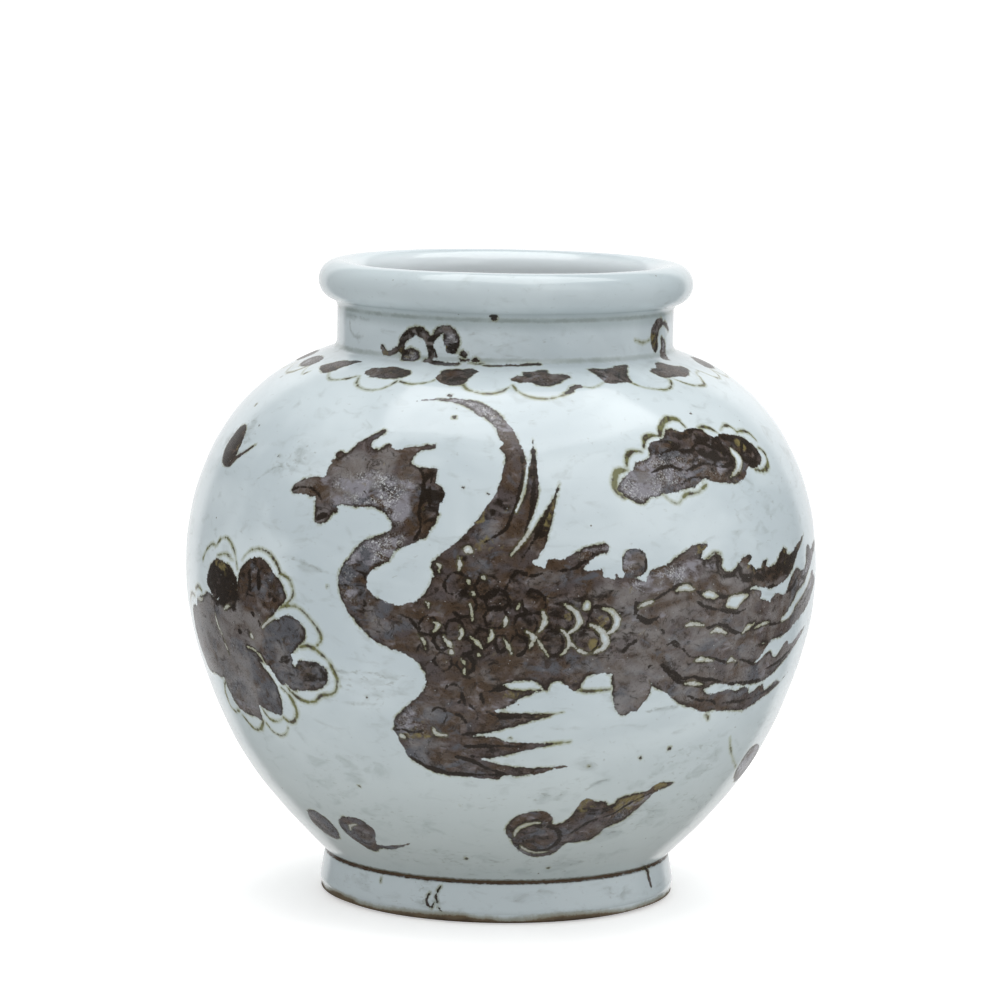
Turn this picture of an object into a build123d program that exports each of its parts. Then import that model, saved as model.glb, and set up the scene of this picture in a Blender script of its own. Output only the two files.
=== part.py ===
"""A globular storage jar of glazed stoneware, about as wide as it is tall.

A jar of this size is too big to throw in one pull. The potter throws a lower bowl, an upper bowl, a
neck collar and a foot ring on the wheel, rolls a thick coil for the rim, and lutes them together with
slip while they are leather hard. Each of those sections is one solid here, and two more are the glaze
coats that cover them outside and inside. Every piece is turned about the jar's own axis, which is Z.
The jar stands on its foot ring at Z = 0, and the origin is the middle of that ring.
"""

import os

from build123d import *

# The jar's main sizes, in millimetres, taken to the face of the glaze
overall_height = 330.0
belly_radius = 163.5
belly_height = 170.0
mouth_radius = 76.3
neck_wall = 10.8
neck_height = 44.6
glaze_thickness = 0.6

# The foot ring, and the height on it where the potter wiped the glaze off
foot_radius = 88.3
foot_height = 21.0
foot_ring_width = 9.3
foot_flare = 4.3
foot_flare_height = 6.5
foot_taper = 2.4
foot_flank_round = 4.0
foot_top_round = 0.8
foot_land_round = 1.5
foot_bore_round = 2.5
seam_groove_depth = 1.4
seam_groove_drop = 0.7
glaze_line_height = 5.6

# The rim, a round coil, and the coves that blend it and the shoulder into the neck
rim_coil_radius = 10.3
rim_cove = 4.5
shoulder_cove = 5.0
rim_seam_drop = 4.9
neck_seam_drop = 1.0

# The inside
belly_wall = 9.6
lower_wall = 11.8
recess_height = 11.0
floor_thickness = 12.0
floor_cove = 14.0
throat_drop = 6.4
throat_cove = 7.0

# The belly seam shows inside as a low welt of slip, pressed over the join with a finger
welt_radius = 30.0
welt_height = 2.2
welt_cove = 20.0

# The thrown curve of each half: the share of the radius it has gained or lost at a share of its height
lower_curve_shares = [(0.529, 0.300), (0.868, 0.650)]
upper_curve_shares = [(0.089, 0.400), (0.471, 0.800)]

# The directions in which the wall leaves the foot, crosses the belly and runs into the neck
foot_direction = (0.706, 0.708)
belly_direction = (0.0, 1.0)
neck_direction = (-0.944, 0.331)

# Where along a wall, as shares of its length, it is measured to draw it again one coat of glaze away
redrawn_steps = 36
redrawn_shares = [step / redrawn_steps for step in range(redrawn_steps + 1)]

# Sizes and places that follow from those above; a place is a radius and a height
neck_radius = mouth_radius + neck_wall
shoulder_height = overall_height - neck_height
foot_bore_radius = foot_radius - foot_ring_width
foot_top_radius = foot_radius + foot_flare - foot_taper
floor_height = recess_height + floor_thickness
belly = (belly_radius, belly_height)
shoulder = (neck_radius, shoulder_height)
rim_centre = (mouth_radius + rim_coil_radius, overall_height - rim_coil_radius)
rim_underside = (neck_radius, overall_height - 2 * rim_coil_radius)
foot_base = (foot_radius, -glaze_thickness)
foot_widest = (foot_radius + foot_flare, foot_flare_height)
groove_edge = (foot_top_radius, foot_height - seam_groove_drop)
groove = (foot_top_radius - seam_groove_depth, foot_height)
cavity_belly = (belly_radius - belly_wall, belly_height)
floor_edge = (groove[0] - lower_wall, floor_height)
throat = (mouth_radius, shoulder_height - throat_drop)
neck_seam_height = shoulder_height - neck_seam_drop
rim_seam_height = rim_underside[1] - rim_seam_drop


def between(start, end, shares):
    """Points between the two ends of a thrown wall, at shares of its change in radius and height."""
    return [
        (
            start[0] + radius_share * (end[0] - start[0]),
            start[1] + height_share * (end[1] - start[1]),
        )
        for radius_share, height_share in shares
    ]


def corner(sketch, point):
    """The corner of a half section that lies nearest to a point."""
    return sketch.vertices().sort_by_distance(Vector(point[0], point[1]))[0]


def thrown_wall(start, middle, end):
    """The curve of a wall from its foot through the belly to the neck, in its two thrown halves."""
    lower_tangents = [foot_direction, belly_direction]
    upper_tangents = [belly_direction, neck_direction]
    Spline(start, *between(start, middle, lower_curve_shares), middle, tangents=lower_tangents)
    Spline(middle, *between(middle, end, upper_curve_shares), end, tangents=upper_tangents)


def outer_section():
    """Half section of all that lies inside the outer glaze's face, with the mouth filled."""
    with BuildSketch() as section:
        with BuildLine():
            Polyline((0, rim_centre[1]), (0, foot_base[1]), foot_base, foot_widest, groove_edge, groove)
            thrown_wall(groove, belly, shoulder)
            Polyline(shoulder, (neck_radius, rim_centre[1]), (0, rim_centre[1]))
        make_face()
        with Locations(rim_centre):
            Circle(rim_coil_radius)
        fillet(corner(section, foot_widest), foot_flank_round)
        fillet(corner(section, groove_edge), foot_top_round)
        fillet(corner(section, shoulder), shoulder_cove)
        fillet(corner(section, rim_underside), rim_cove)
    return section.sketch


def cavity_section():
    """Half section of the hollow inside the inner glaze's face, up to the middle of the rim."""
    with BuildSketch() as section:
        with BuildLine():
            Polyline((0, rim_centre[1]), (0, floor_height), floor_edge)
            thrown_wall(floor_edge, cavity_belly, throat)
            Polyline(throat, (mouth_radius, rim_centre[1]), (0, rim_centre[1]))
        make_face()
        fillet(corner(section, floor_edge), floor_cove)
        fillet(corner(section, throat), throat_cove)
        with Locations((cavity_belly[0] + welt_radius - welt_height, belly_height)):
            Circle(welt_radius, mode=Mode.SUBTRACT)
        for side in (-welt_radius, welt_radius):
            fillet(corner(section, (cavity_belly[0], belly_height + side)), welt_cove)
    return section.sketch


def grown(half_section, amount):
    """A half section grown or shrunk all along its face, but not at the axis."""
    with BuildSketch() as moved:
        add(half_section)
        mirror(about=Plane.YZ)
        offset(amount=amount)
        Rectangle(belly_radius, 2 * overall_height, align=(Align.MIN, Align.CENTER), mode=Mode.INTERSECT)
    with BuildSketch() as section:
        with BuildLine():
            for edge in moved.edges():
                if edge.geom_type == GeomType.OFFSET:
                    Spline(*edge.positions(redrawn_shares), tangents=[edge % 0, edge % 1])
                else:
                    add(edge)
        make_face()
    return section.sketch


def band(section, low, high):
    """The part of a half section between two heights."""
    with BuildSketch() as slab:
        add(section)
        with Locations((0, low)):
            Rectangle(belly_radius, high - low, align=(Align.MIN, Align.MIN), mode=Mode.INTERSECT)
    return slab.sketch


# The whole wall from glaze to glaze, the clay inside it, and the coat that is left between the two
with BuildSketch() as wall:
    add(outer_section())
    add(cavity_section(), mode=Mode.SUBTRACT)

clay_section = grown(wall.sketch, -glaze_thickness)

with BuildSketch() as inner_coat:
    add(band(wall.sketch, recess_height, rim_centre[1]))
    add(clay_section, mode=Mode.SUBTRACT)
    add(grown(cavity_section(), 2 * glaze_thickness), mode=Mode.INTERSECT)

with BuildSketch() as outer_coat:
    add(band(wall.sketch, glaze_line_height, overall_height))
    add(clay_section, mode=Mode.SUBTRACT)
    add(inner_coat.sketch, mode=Mode.SUBTRACT)

# The foot ring is bored through, and luted on round a short boss under the bowl
with BuildPart() as foot_ring:
    with BuildSketch(Plane.XZ) as ring_section:
        add(band(clay_section, 0, foot_height))
        Rectangle(foot_bore_radius, foot_height, align=(Align.MIN, Align.MIN), mode=Mode.SUBTRACT)
        fillet(corner(ring_section, (foot_bore_radius, 0)), foot_bore_round)
        fillet(corner(ring_section, (foot_radius, 0)), foot_land_round)
    revolve(axis=Axis.Z)
foot_ring.part.label = "foot_ring"

# The lower bowl, with its floor and the boss that the ring goes round
with BuildPart() as lower_bowl:
    with BuildSketch(Plane.XZ):
        add(band(clay_section, recess_height, belly_height))
        with Locations((foot_bore_radius, 0)):
            Rectangle(belly_radius, foot_height, align=(Align.MIN, Align.MIN), mode=Mode.SUBTRACT)
    revolve(axis=Axis.Z)
lower_bowl.part.label = "lower_bowl"

# The upper bowl, thrown upside down and set rim to rim on the lower one
with BuildPart() as upper_bowl:
    with BuildSketch(Plane.XZ):
        add(band(clay_section, belly_height, neck_seam_height))
    revolve(axis=Axis.Z)
upper_bowl.part.label = "upper_bowl"

# The short straight collar of the neck
with BuildPart() as neck_collar:
    with BuildSketch(Plane.XZ):
        add(band(clay_section, neck_seam_height, rim_seam_height))
    revolve(axis=Axis.Z)
neck_collar.part.label = "neck_collar"

# The rolled coil of the rim
with BuildPart() as rim_roll:
    with BuildSketch(Plane.XZ):
        add(band(clay_section, rim_seam_height, overall_height))
    revolve(axis=Axis.Z)
rim_roll.part.label = "rim_roll"

# The glaze outside, from the wiped line on the foot up and over the rim
with BuildPart() as outer_glaze:
    with BuildSketch(Plane.XZ):
        add(outer_coat.sketch)
    revolve(axis=Axis.Z)
outer_glaze.part.label = "outer_glaze"

# The glaze inside, from the mouth down over the floor
with BuildPart() as inner_glaze:
    with BuildSketch(Plane.XZ):
        add(inner_coat.sketch)
    revolve(axis=Axis.Z)
inner_glaze.part.label = "inner_glaze"

os.makedirs("parts", exist_ok=True)
for piece in (foot_ring, lower_bowl, upper_bowl, neck_collar, rim_roll, outer_glaze, inner_glaze):
    export_step(piece.part, f"parts/{piece.part.label}.step")
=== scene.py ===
"""The looks of a globular stoneware jar, painted in iron brown under a pale blue-grey glaze.

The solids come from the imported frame. The coat of glaze outside is drawn again here as eight gores of
one skin of revolution, because it carries the painting: each of its points holds how far it lies inside
the painted shapes, and the glaze material turns that into pigment with ragged edges.

The painting is laid out on the unrolled wall. A place on it is a pair of millimetres: the way round from
the middle of the front, measured at the belly and positive to the right, and the way up along the wall
from the groove over the foot.
"""

import bpy
import numpy as np
from bpy.props import FloatProperty, FloatVectorProperty, IntProperty, PointerProperty
from mathutils import Matrix, Vector


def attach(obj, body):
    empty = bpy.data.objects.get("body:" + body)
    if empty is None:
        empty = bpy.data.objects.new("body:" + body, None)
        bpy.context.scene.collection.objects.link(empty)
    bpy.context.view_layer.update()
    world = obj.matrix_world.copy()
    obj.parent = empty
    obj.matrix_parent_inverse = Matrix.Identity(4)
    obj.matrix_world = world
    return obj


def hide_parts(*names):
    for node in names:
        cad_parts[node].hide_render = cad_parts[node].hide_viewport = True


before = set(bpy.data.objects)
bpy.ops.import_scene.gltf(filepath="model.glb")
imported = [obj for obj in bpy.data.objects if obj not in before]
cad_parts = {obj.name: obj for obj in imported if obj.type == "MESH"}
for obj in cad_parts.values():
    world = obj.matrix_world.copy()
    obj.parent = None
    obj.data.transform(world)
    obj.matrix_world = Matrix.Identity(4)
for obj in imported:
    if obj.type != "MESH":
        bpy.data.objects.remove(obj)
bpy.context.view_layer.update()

bl_info = {
    "name": "Painted storage jar",
    "version": (1, 0, 0),
    "blender": (4, 5, 0),
    "location": "View3D > Sidebar > Jar",
    "description": "Glaze, painting, bare clay and studio for a stoneware storage jar",
    "category": "Add Mesh",
}

MM = 0.001

# The turned shape of the jar, as in its solids, in millimetres: places are a radius and a height, and
# directions are a step outwards and a step up
BELLY = (163.5, 170.0)
GROOVE = (88.8, 21.0)
SHOULDER = (87.1, 285.4)
LOWER_POINTS = [(128.32, 65.70), (153.64, 117.85)]
UPPER_POINTS = [(156.70, 216.16), (127.52, 262.32)]
FOOT_DIRECTION = (0.706, 0.708)
BELLY_DIRECTION = (0.0, 1.0)
NECK_DIRECTION = (-0.944, 0.331)
FOOT_CORNERS = [(88.3, -0.6), (92.6, 6.5), (90.2, 20.3), (88.8, 21.0)]
FOOT_ROUNDS = [4.0, 0.8]
GLAZE_LINE = 1.8
SHOULDER_COVE = 5.0
RIM_COVE = 4.5
RIM_RADIUS = 10.3
RIM_CENTRE = (86.6, 319.7)
GLAZE_THICKNESS = 0.6
WAY_ROUND = 2 * np.pi * BELLY[0]

# How far the edge of the glaze drops as it thins over the foot, and how far its last row inside the mouth
# lies behind the face of the glaze there and under the middle of the rim, in millimetres
EDGE_DROP = 0.2
MOUTH_TUCK = (0.08, 0.5)

# How many places are worked out on each half of the wall, on each cove and round the rim
WALL_PLACES, COVE_PLACES, RIM_PLACES = 400, 16, 90

# The waves in the glaze: a height in millimetres, how many go round the jar, how many millimetres up the
# wall turn them by a radian, and where they start. They stand on an even lift.
SETTLED_WAVES = [(0.34, 2, 95, 0.6), (0.16, 3, -61, 2.1), (0.10, 7, 33, 0), (0.05, 11, -21, 1.3)]
RIM_WAVES = [(0.10, 2, np.inf, 1.0), (0.06, 5, np.inf, 2.2), (0.03, 13, 9, 0)]
SETTLED_LIFT, RIM_LIFT = 0.72, 0.06

# The rings from the fingers: a height in millimetres, how many millimetres up the wall turn them by a
# radian, and how far they lean round the jar. The fine ones wander too, and the broad ones start later.
FINE_RINGS, BROAD_RINGS = (0.055, 3.9, 0.9), (0.07, 9.7, 1.1)
RING_WANDER, WANDER_LENGTH, BROAD_START = 1.4, 47, 2

# The ways up the wall in millimetres where the relief of the body and of the rim begins and is full, from
# below and from above
BODY_FADES = [(4, 34), (318, 294)]
RIM_FADES = [(318, 330), (388, 380)]

# The slow waves that move the copy on the back: a height in millimetres, how many millimetres turn it by a
# radian, and where it starts. It rises and falls less outside the free part of the wall.
SWAY_BY_HEIGHT, SWAY_ROUND = (3.0, 23, 0.8), (2.0, 37, 0)
RISE_LENGTH, RISE_START, FREE_RISE, BELT_RISE = 41, 0.5, 3.2, 0.8
FREE_WALL = (70, 270)

# How far round a painted shape its distance is worked out, in millimetres, so a field is at least minus
# that. FAR is more than any distance inside a shape.
REACH, FAR = 7, 99.0

# The least share of the belly's radius by which ways round are squeezed when a window is chosen
LEAST_SQUEEZE = 0.4

# The squared distance, in halves of a soft patch's size, at which it has gone, and how many of those halves
# its window reaches
PATCH_FADE, PATCH_REACH = 1.5, 1.6

# How much a smoky stroke greys the glaze, and half the length of the stroke that makes a speck
SMOKE_AMOUNT, SPECK_HALF = 1.5, 0.1

# The phoenix faces left. Its head, long neck and breast are one outline, beak first.
HEAD_AND_NECK = [
    (-120.5, 226), (-118, 229.5), (-110, 232.8), (-101, 233.8), (-100.5, 237), (-98.5, 242), (-93, 246),
    (-88.5, 250), (-86.5, 253.5), (-82, 256.5), (-77, 260), (-73.5, 262.3), (-71.5, 261.8), (-72, 259.8),
    (-76, 256), (-78, 253), (-77, 251.2), (-72, 251), (-70, 252.2), (-67.5, 253.8), (-65.5, 253.8), (-64, 252),
    (-60, 251), (-56, 252.5), (-50, 253.6), (-42, 255), (-39, 255), (-38.5, 253.8), (-40, 252.6), (-46, 251.5),
    (-49.5, 249.5), (-51, 246), (-50.5, 244), (-45, 242.3), (-37, 242.5), (-35.5, 241.3), (-35.8, 237),
    (-35, 234.5), (-31, 231.5), (-30, 228.5), (-31, 225.5), (-33, 224), (-32.5, 220), (-33.5, 214.5), (-36, 211),
    (-38, 206.8), (-41, 206.5), (-44, 204.5), (-50, 202), (-54, 199.5), (-55, 196.5), (-57, 194.5), (-62, 192),
    (-66, 188.5), (-67.5, 184), (-66.5, 180.5), (-62, 177), (-56, 175), (-49, 173.8), (-43, 175.5), (-38, 170),
    (-38, 150), (-43, 147.5), (-48, 150.3), (-54, 151.5), (-60, 153.8), (-66, 157.5), (-72, 163), (-77, 168.5),
    (-81, 175), (-83, 181), (-83, 187), (-81, 191.5), (-78, 195.5), (-74, 200.5), (-70, 204), (-64, 206.5),
    (-57, 209.5), (-56, 211.5), (-58, 215), (-62, 218.5), (-68, 220.3), (-76, 220.2), (-84, 220.5), (-88, 220),
    (-90, 217), (-91, 215), (-93, 212), (-97, 210), (-101, 211), (-101.5, 213), (-101.5, 216.5), (-102.5, 219),
    (-103.5, 223.5), (-106, 222.8), (-112, 224), (-117, 223.3), (-120, 224.3),
]
BODY = [
    (-43, 175.5), (-38, 179.5), (-35, 184.5), (-33.5, 190), (-34.5, 195.5), (-29, 200.5), (-22, 206), (-15, 212),
    (5, 215), (15, 212), (18.5, 200), (15, 196.5), (16, 196), (21, 194), (22.5, 197.8), (26, 198.5), (30, 198),
    (36, 201), (42, 203.8), (48, 205), (52, 205.5), (54, 204), (53, 201), (49, 200.5), (45, 198), (41, 193.5),
    (42, 192.5), (47, 192.8), (50, 193.5), (51, 191), (50.5, 189), (55, 188.3), (60, 188.5), (62, 189),
    (73, 186), (80, 180), (80, 150), (79, 138), (57.5, 140.5), (55, 141), (46, 140.5), (43, 139), (41, 134),
    (39, 132), (35, 134), (30, 137.5), (26, 137), (24, 132), (22, 134), (18, 137), (13, 138), (5, 137), (0, 135),
    (-20, 134), (-37, 136), (-37.5, 140), (-39.5, 144), (-43, 147.5), (-48, 152), (-48, 172),
]
LOWER_WING = [
    (-36, 140), (-37, 136), (-39, 131), (-44, 126), (-50, 120.5), (-55, 115.5), (-56.5, 114), (-56, 111.5),
    (-57.5, 109), (-57, 107), (-55.5, 105), (-54.5, 102), (-52.5, 97), (-50, 92), (-46, 89.5), (-40, 86.5),
    (-35, 84.5), (-28, 83.5), (-18, 83), (-8, 82.5), (0, 82), (3, 84), (12, 84), (20, 85), (28, 87), (35, 88.5),
    (39.5, 90), (36, 90.3), (28, 89.2), (18, 88.8), (8, 89.8), (0, 91.5), (-5, 92.5), (-10, 94), (-6, 94.3),
    (0, 95.5), (8, 97.5), (16, 99.5), (24, 101.5), (34, 103.6), (28, 103.5), (15, 103.8), (7, 104), (2, 105),
    (0, 106.5), (-5, 107), (-11, 107.3), (-14, 107.2), (-8, 108.8), (-2, 110), (4, 112), (10, 113.5), (17, 116),
    (23, 117.5), (28, 119.8), (20, 120.3), (10, 120.5), (2, 120.8), (-3, 121.5), (2, 123), (7, 125.5), (12, 129),
    (17, 131), (21, 133), (14, 132.8), (6, 133.5), (0, 137), (-20, 150),
]
LONG_FEATHER = [
    (-34, 194), (-34, 196), (-29, 200.5), (-22, 206), (-15, 214), (-9, 222), (-4, 230), (-1, 238), (0.5, 245),
    (1, 250), (-2, 254), (0, 257), (-2.5, 259.5), (-4, 264), (-7, 268.5), (-12, 272), (-18, 275), (-24, 279),
    (-32, 281.5), (-45, 282.8), (-60, 281.6), (-48, 284), (-36, 285), (-27, 284.5), (-18, 283.5), (-10, 280),
    (-3, 275), (2, 270), (6, 264.5), (9, 258), (11.5, 252), (12.5, 247), (12, 240), (10.5, 233), (8.5, 226.5),
    (6.5, 221), (8, 206), (4, 195), (-20, 186),
]
SECOND_FEATHER = [
    (12, 234), (13.5, 241), (15, 248), (16.3, 255), (17, 259.5), (17.8, 253), (18.5, 243), (19, 234),
    (17.5, 225), (15, 218.5), (12, 212), (8, 202), (0, 200), (2, 212), (8, 223),
]
THIRD_FEATHER = [
    (8, 204), (14, 211), (20, 219.5), (24, 224.5), (27.5, 230.5), (30.5, 236.5), (29.5, 233), (26.5, 221),
    (24, 212), (21, 204), (18.5, 200), (15, 196.5), (8, 190), (2, 194),
]
LEG = [
    (57.5, 141), (58.5, 131), (59, 127.5), (61, 123), (63.5, 119), (67, 117.5), (70, 119.5), (74, 120),
    (76.5, 123.5), (79, 127), (80, 132), (79.5, 135), (80, 142), (68, 146),
]

# The tail streams off to the right in five strands
TAIL_ROOT = [
    (57, 190), (62, 186), (75, 181), (90, 184), (104, 186), (112, 182), (120, 178), (130, 177.5), (149, 176),
    (149, 168), (150, 160), (150, 149), (160, 148.5), (167, 149), (161, 146.5), (156, 141), (151, 138.3),
    (150, 127), (140, 128.3), (132, 129), (124, 130.5), (120, 130.3), (114, 128), (120, 125), (127, 125.5),
    (124, 115.5), (116, 116), (110, 118.5), (104, 120.5), (98, 122.5), (92, 127), (86, 130.5), (81, 132.5),
    (79.5, 135), (70, 141), (57, 143),
]
TOP_STRAND = [
    (61, 178), (61.5, 190), (67, 188), (73, 186), (74, 189), (78, 192), (85, 194), (90, 196.5), (96, 199.5),
    (102, 202), (107, 202.5), (111.5, 202.5), (111, 201), (108, 199), (107, 196), (111, 195), (115, 197),
    (119, 196.8), (120.5, 194.5), (120, 191), (122, 188), (126, 187.5), (130, 189.5), (134, 192.5), (138, 194.5),
    (143, 194.5), (142.5, 192.5), (139, 190), (142, 189.5), (146, 187), (150, 187.5), (152, 190.5), (156, 190.3),
    (155, 188), (159, 187), (163, 187.5), (167, 190.5), (170, 193), (173, 194.7), (177, 193.5), (176, 191.2),
    (180, 190.8), (185, 192), (190, 194), (197, 196), (205, 198.5), (198, 194), (193, 191), (188, 187.5),
    (182, 182.5), (176, 179), (168, 177), (162, 176), (157, 176), (150, 177.3), (143, 178.5), (138, 176.5),
    (130, 177), (124, 175), (117, 176.5), (112, 179), (108, 181.5), (104, 183.5), (99, 184.5), (94, 182.8),
    (88, 180), (80, 177.5), (73, 176.3),
]
SECOND_STRAND = [
    (146, 172), (158, 169), (160, 171), (166, 172.8), (171, 171.3), (175, 172), (180, 178), (185, 181.5),
    (190, 182.5), (195, 180.5), (201, 181), (204, 183), (206, 189), (209, 192), (213, 191.5), (216, 189),
    (225, 191), (235, 191), (232, 188), (222, 185), (214, 181), (208, 178), (200, 173.5), (195, 172),
    (190, 170.5), (186, 167), (180, 163.5), (175, 159.5), (160, 156), (146, 158),
]
THIRD_STRAND = [
    (146, 162), (175, 158), (182, 159.5), (188, 165.5), (196, 167), (203, 170), (210, 174), (216, 177.5),
    (221, 177.5), (224, 175), (230, 172), (224, 168), (216, 163.5), (208, 160), (200, 157.5), (190, 154),
    (182, 151), (175, 149.5), (165, 149), (160, 148.5), (146, 148),
]
FOURTH_STRAND = [
    (140, 140), (151, 138.3), (157, 139.5), (161, 142), (166, 142.8), (169, 139.5), (174, 139), (178, 143),
    (183, 146), (187, 144), (191, 143.5), (196, 145.5), (203, 148), (211, 149.5), (203, 144), (197, 140.5),
    (190, 136.5), (182, 133), (175, 129.5), (168, 127.5), (160, 126.5), (150, 127), (140, 128.3), (132, 129),
]
LOWEST_STRAND = [
    (116, 126), (120, 125), (127, 125.5), (133, 126.5), (140, 124.5), (146, 126), (151, 125), (154, 121.5),
    (160, 123), (166, 124.8), (170, 121.5), (176, 122), (182, 124.5), (187, 123.5), (192, 123), (200, 126.5),
    (187, 121), (180, 118.5), (172, 116.5), (163, 114), (155, 112), (148, 112.5), (140, 113.5), (131, 114.5),
    (124, 115.5), (116, 116), (110, 118.5), (104, 120.5),
]

# The flower is a ring of round petals that overlap, with a dark middle
PETALS = [
    [(-186, 171), (-184, 177), (-179, 182), (-174, 184.5), (-168, 184), (-160, 182.5), (-155, 179),
     (-152.5, 176), (-152, 171), (-153, 165), (-155, 160), (-158, 160.5), (-163, 163), (-170, 165), (-176, 164),
     (-181, 167)],
    [(-153, 166), (-152, 176), (-150, 182), (-145, 186.5), (-140, 189), (-133, 189.5), (-128, 187), (-122, 182),
     (-118, 179), (-115.5, 175), (-115, 171), (-117, 168.5), (-121, 165.5), (-126, 160), (-140, 152),
     (-154, 158)],
    [(-121, 160.5), (-117, 163), (-111, 163), (-106, 160.5), (-103, 156.5), (-103, 153.5), (-105, 150.5),
     (-109, 148), (-111, 145), (-118, 142), (-130, 144), (-132, 158)],
    [(-113, 137), (-109, 140.5), (-103, 141), (-97, 140.8), (-93, 138.5), (-91.5, 135), (-92.5, 131),
     (-96, 127.5), (-100, 126), (-106, 125), (-112, 124), (-118, 124), (-122, 127), (-128, 134), (-128, 148),
     (-118, 148)],
    [(-150, 143), (-145, 142), (-141, 139), (-137, 134), (-132, 129.5), (-129, 124), (-128.5, 118), (-129, 112),
     (-132, 108), (-138, 108), (-146, 109.5), (-152, 112), (-158, 128)],
    [(-183, 118), (-181, 112), (-178, 107), (-172, 104), (-165, 103), (-158, 103), (-152, 101.5), (-151, 108),
     (-148, 125), (-150, 143), (-166, 146), (-180, 132)],
    [(-218, 148), (-216, 153), (-211, 156), (-204, 156), (-203, 160), (-197, 162), (-190, 164), (-186, 166),
     (-178, 165), (-166, 160), (-162, 140), (-172, 128), (-180, 124), (-187, 120.5), (-195, 121.5), (-203, 121),
     (-210, 122.5), (-213, 128), (-217, 135), (-219, 143)],
    [(-170, 166), (-150, 168), (-128, 162), (-118, 148), (-124, 136), (-138, 136), (-150, 140), (-168, 138),
     (-176, 150)],
    [(-124, 154), (-114.6, 143.6), (-113.4, 140.6), (-114.4, 137), (-118, 131), (-124, 125.6), (-128.6, 130),
     (-135, 140), (-134, 150)],
]
CLOUD = [
    (65, 237), (69, 239.5), (73, 242), (77, 246), (84, 247.5), (86.5, 250), (87, 254), (90, 256.5), (96, 257.5),
    (100, 259), (103, 262.5), (107, 264), (112, 262.5), (117, 261.5), (120, 262.5), (126, 263.3), (132, 262),
    (136, 258), (140, 256.5), (146, 258), (150, 258), (156, 256.5), (163, 255.5), (169, 253), (174, 249),
    (177, 244), (175.5, 240.5), (170, 238), (163, 237), (157, 238), (152.5, 234), (146, 231.5), (138, 231),
    (130, 232), (124, 233), (119, 235), (115, 233.5), (110, 231), (103, 230.5), (97, 229), (90, 229),
    (85, 227.5), (80, 227), (76, 224), (71, 225), (65, 229), (62, 232),
]
CLOUD_GAP = [
    (149, 249.5), (154, 246), (155, 242), (151, 238), (145, 235.5), (138, 233.8), (143, 237), (147, 239.5),
    (149, 243.5), (148, 246),
]
WISP = [
    (6, 46), (6.5, 51), (10, 56), (16, 59.5), (23, 61), (30, 61), (34, 58.5), (36, 55), (36, 51.5), (38, 51.5),
    (43, 52.5), (48, 57), (50, 62), (52, 67), (55, 69), (58, 68), (62, 66.5), (68, 66), (71, 63.5), (75, 64),
    (76.5, 67), (80, 68.5), (86, 69.5), (91, 70), (97, 71), (101, 74.5), (108, 75), (115, 73.5), (108, 71),
    (102, 68.5), (98, 63), (94, 58), (88, 51.5), (82, 48.5), (76, 46), (73, 41), (68, 37), (62, 37), (57, 36),
    (50, 36), (48.5, 34), (45, 29), (40, 26), (32, 25), (24, 26), (17, 30), (13, 35), (10, 39),
]
COMMA = [
    (-125, 37), (-122, 42), (-116, 46), (-108, 47), (-100, 46.5), (-94, 43), (-92, 38), (-94, 33), (-96, 30),
    (-97, 27), (-92, 27), (-82, 28), (-75, 29.5), (-65, 32), (-76, 27), (-86, 24.5), (-97, 23.5), (-101, 21),
    (-106, 20), (-112, 21.5), (-118, 26), (-123, 31),
]
ROUND_BLOT = [
    (-161.5, 35), (-159, 41), (-153, 45), (-146, 46.3), (-139, 44.5), (-134.5, 40), (-132.5, 35), (-134.5, 29),
    (-140, 25), (-147, 23.8), (-154, 25.5), (-159.5, 30),
]
LEFT_DROP = [
    (-204, 242), (-202, 249), (-197, 253.5), (-191, 253), (-186, 249), (-183, 243), (-182.5, 236), (-185, 231),
    (-191, 230.5), (-198, 232), (-202, 236),
]
SHOULDER_BLOTS = [
    [(-178, 301), (-170, 297.5), (-160, 295.5), (-153, 298.5), (-149, 304), (-143, 309), (-139, 311),
     (-146, 312), (-155, 310), (-165, 309.5), (-174, 304)],
    [(-120.5, 302), (-118, 306), (-109, 307), (-102, 309.5), (-94, 309), (-86, 307.5), (-79, 305.5),
     (-78, 302.5), (-83, 299), (-92, 297.5), (-104, 297.5), (-114, 298.5)],
    [(-54, 302.5), (-53, 307), (-51, 309.5), (-42, 311), (-33, 311.5), (-28, 312.5), (-22, 309), (-25, 306.5),
     (-28, 302), (-31, 296.5), (-38, 295), (-46, 296), (-52, 298.5)],
    [(5, 302.5), (9, 305.5), (15, 306.5), (16, 310), (24, 310.5), (31, 312), (36, 312), (38, 308.5), (46, 308),
     (53, 307), (54, 304.5), (48, 302.5), (42, 299), (34, 296.5), (26, 297), (20, 299.5), (10, 299.5)],
    [(74, 312), (80, 313), (88, 312), (97, 312.5), (108, 314.5), (120, 315), (114, 311), (108, 306),
     (104, 301.5), (103, 297.5), (98, 298.5), (90, 297.5), (80, 299), (79, 303), (77, 308)],
    [(135, 306), (140, 308.5), (150, 310), (156, 313.5), (165, 314), (171, 311.5), (178, 308), (186, 307),
     (188, 303.5), (180, 301), (170, 298.5), (160, 299), (150, 299.5), (141, 299.5), (137, 302.5)],
    [(-226, 303), (-222, 307), (-212, 309), (-200, 308), (-194, 304), (-197, 299), (-208, 297), (-220, 298)],
    [(228, 301), (232, 306), (242, 309), (252, 310), (262, 308), (270, 304), (264, 299), (250, 297), (236, 298)],
]

SIDE_BLOT = [
    (188, 84), (196, 85.5), (205, 84), (215, 80), (222, 74), (223, 67), (217, 62), (208, 60.5), (198, 62),
    (189, 66.5), (184, 72), (184.5, 79),
]

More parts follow.
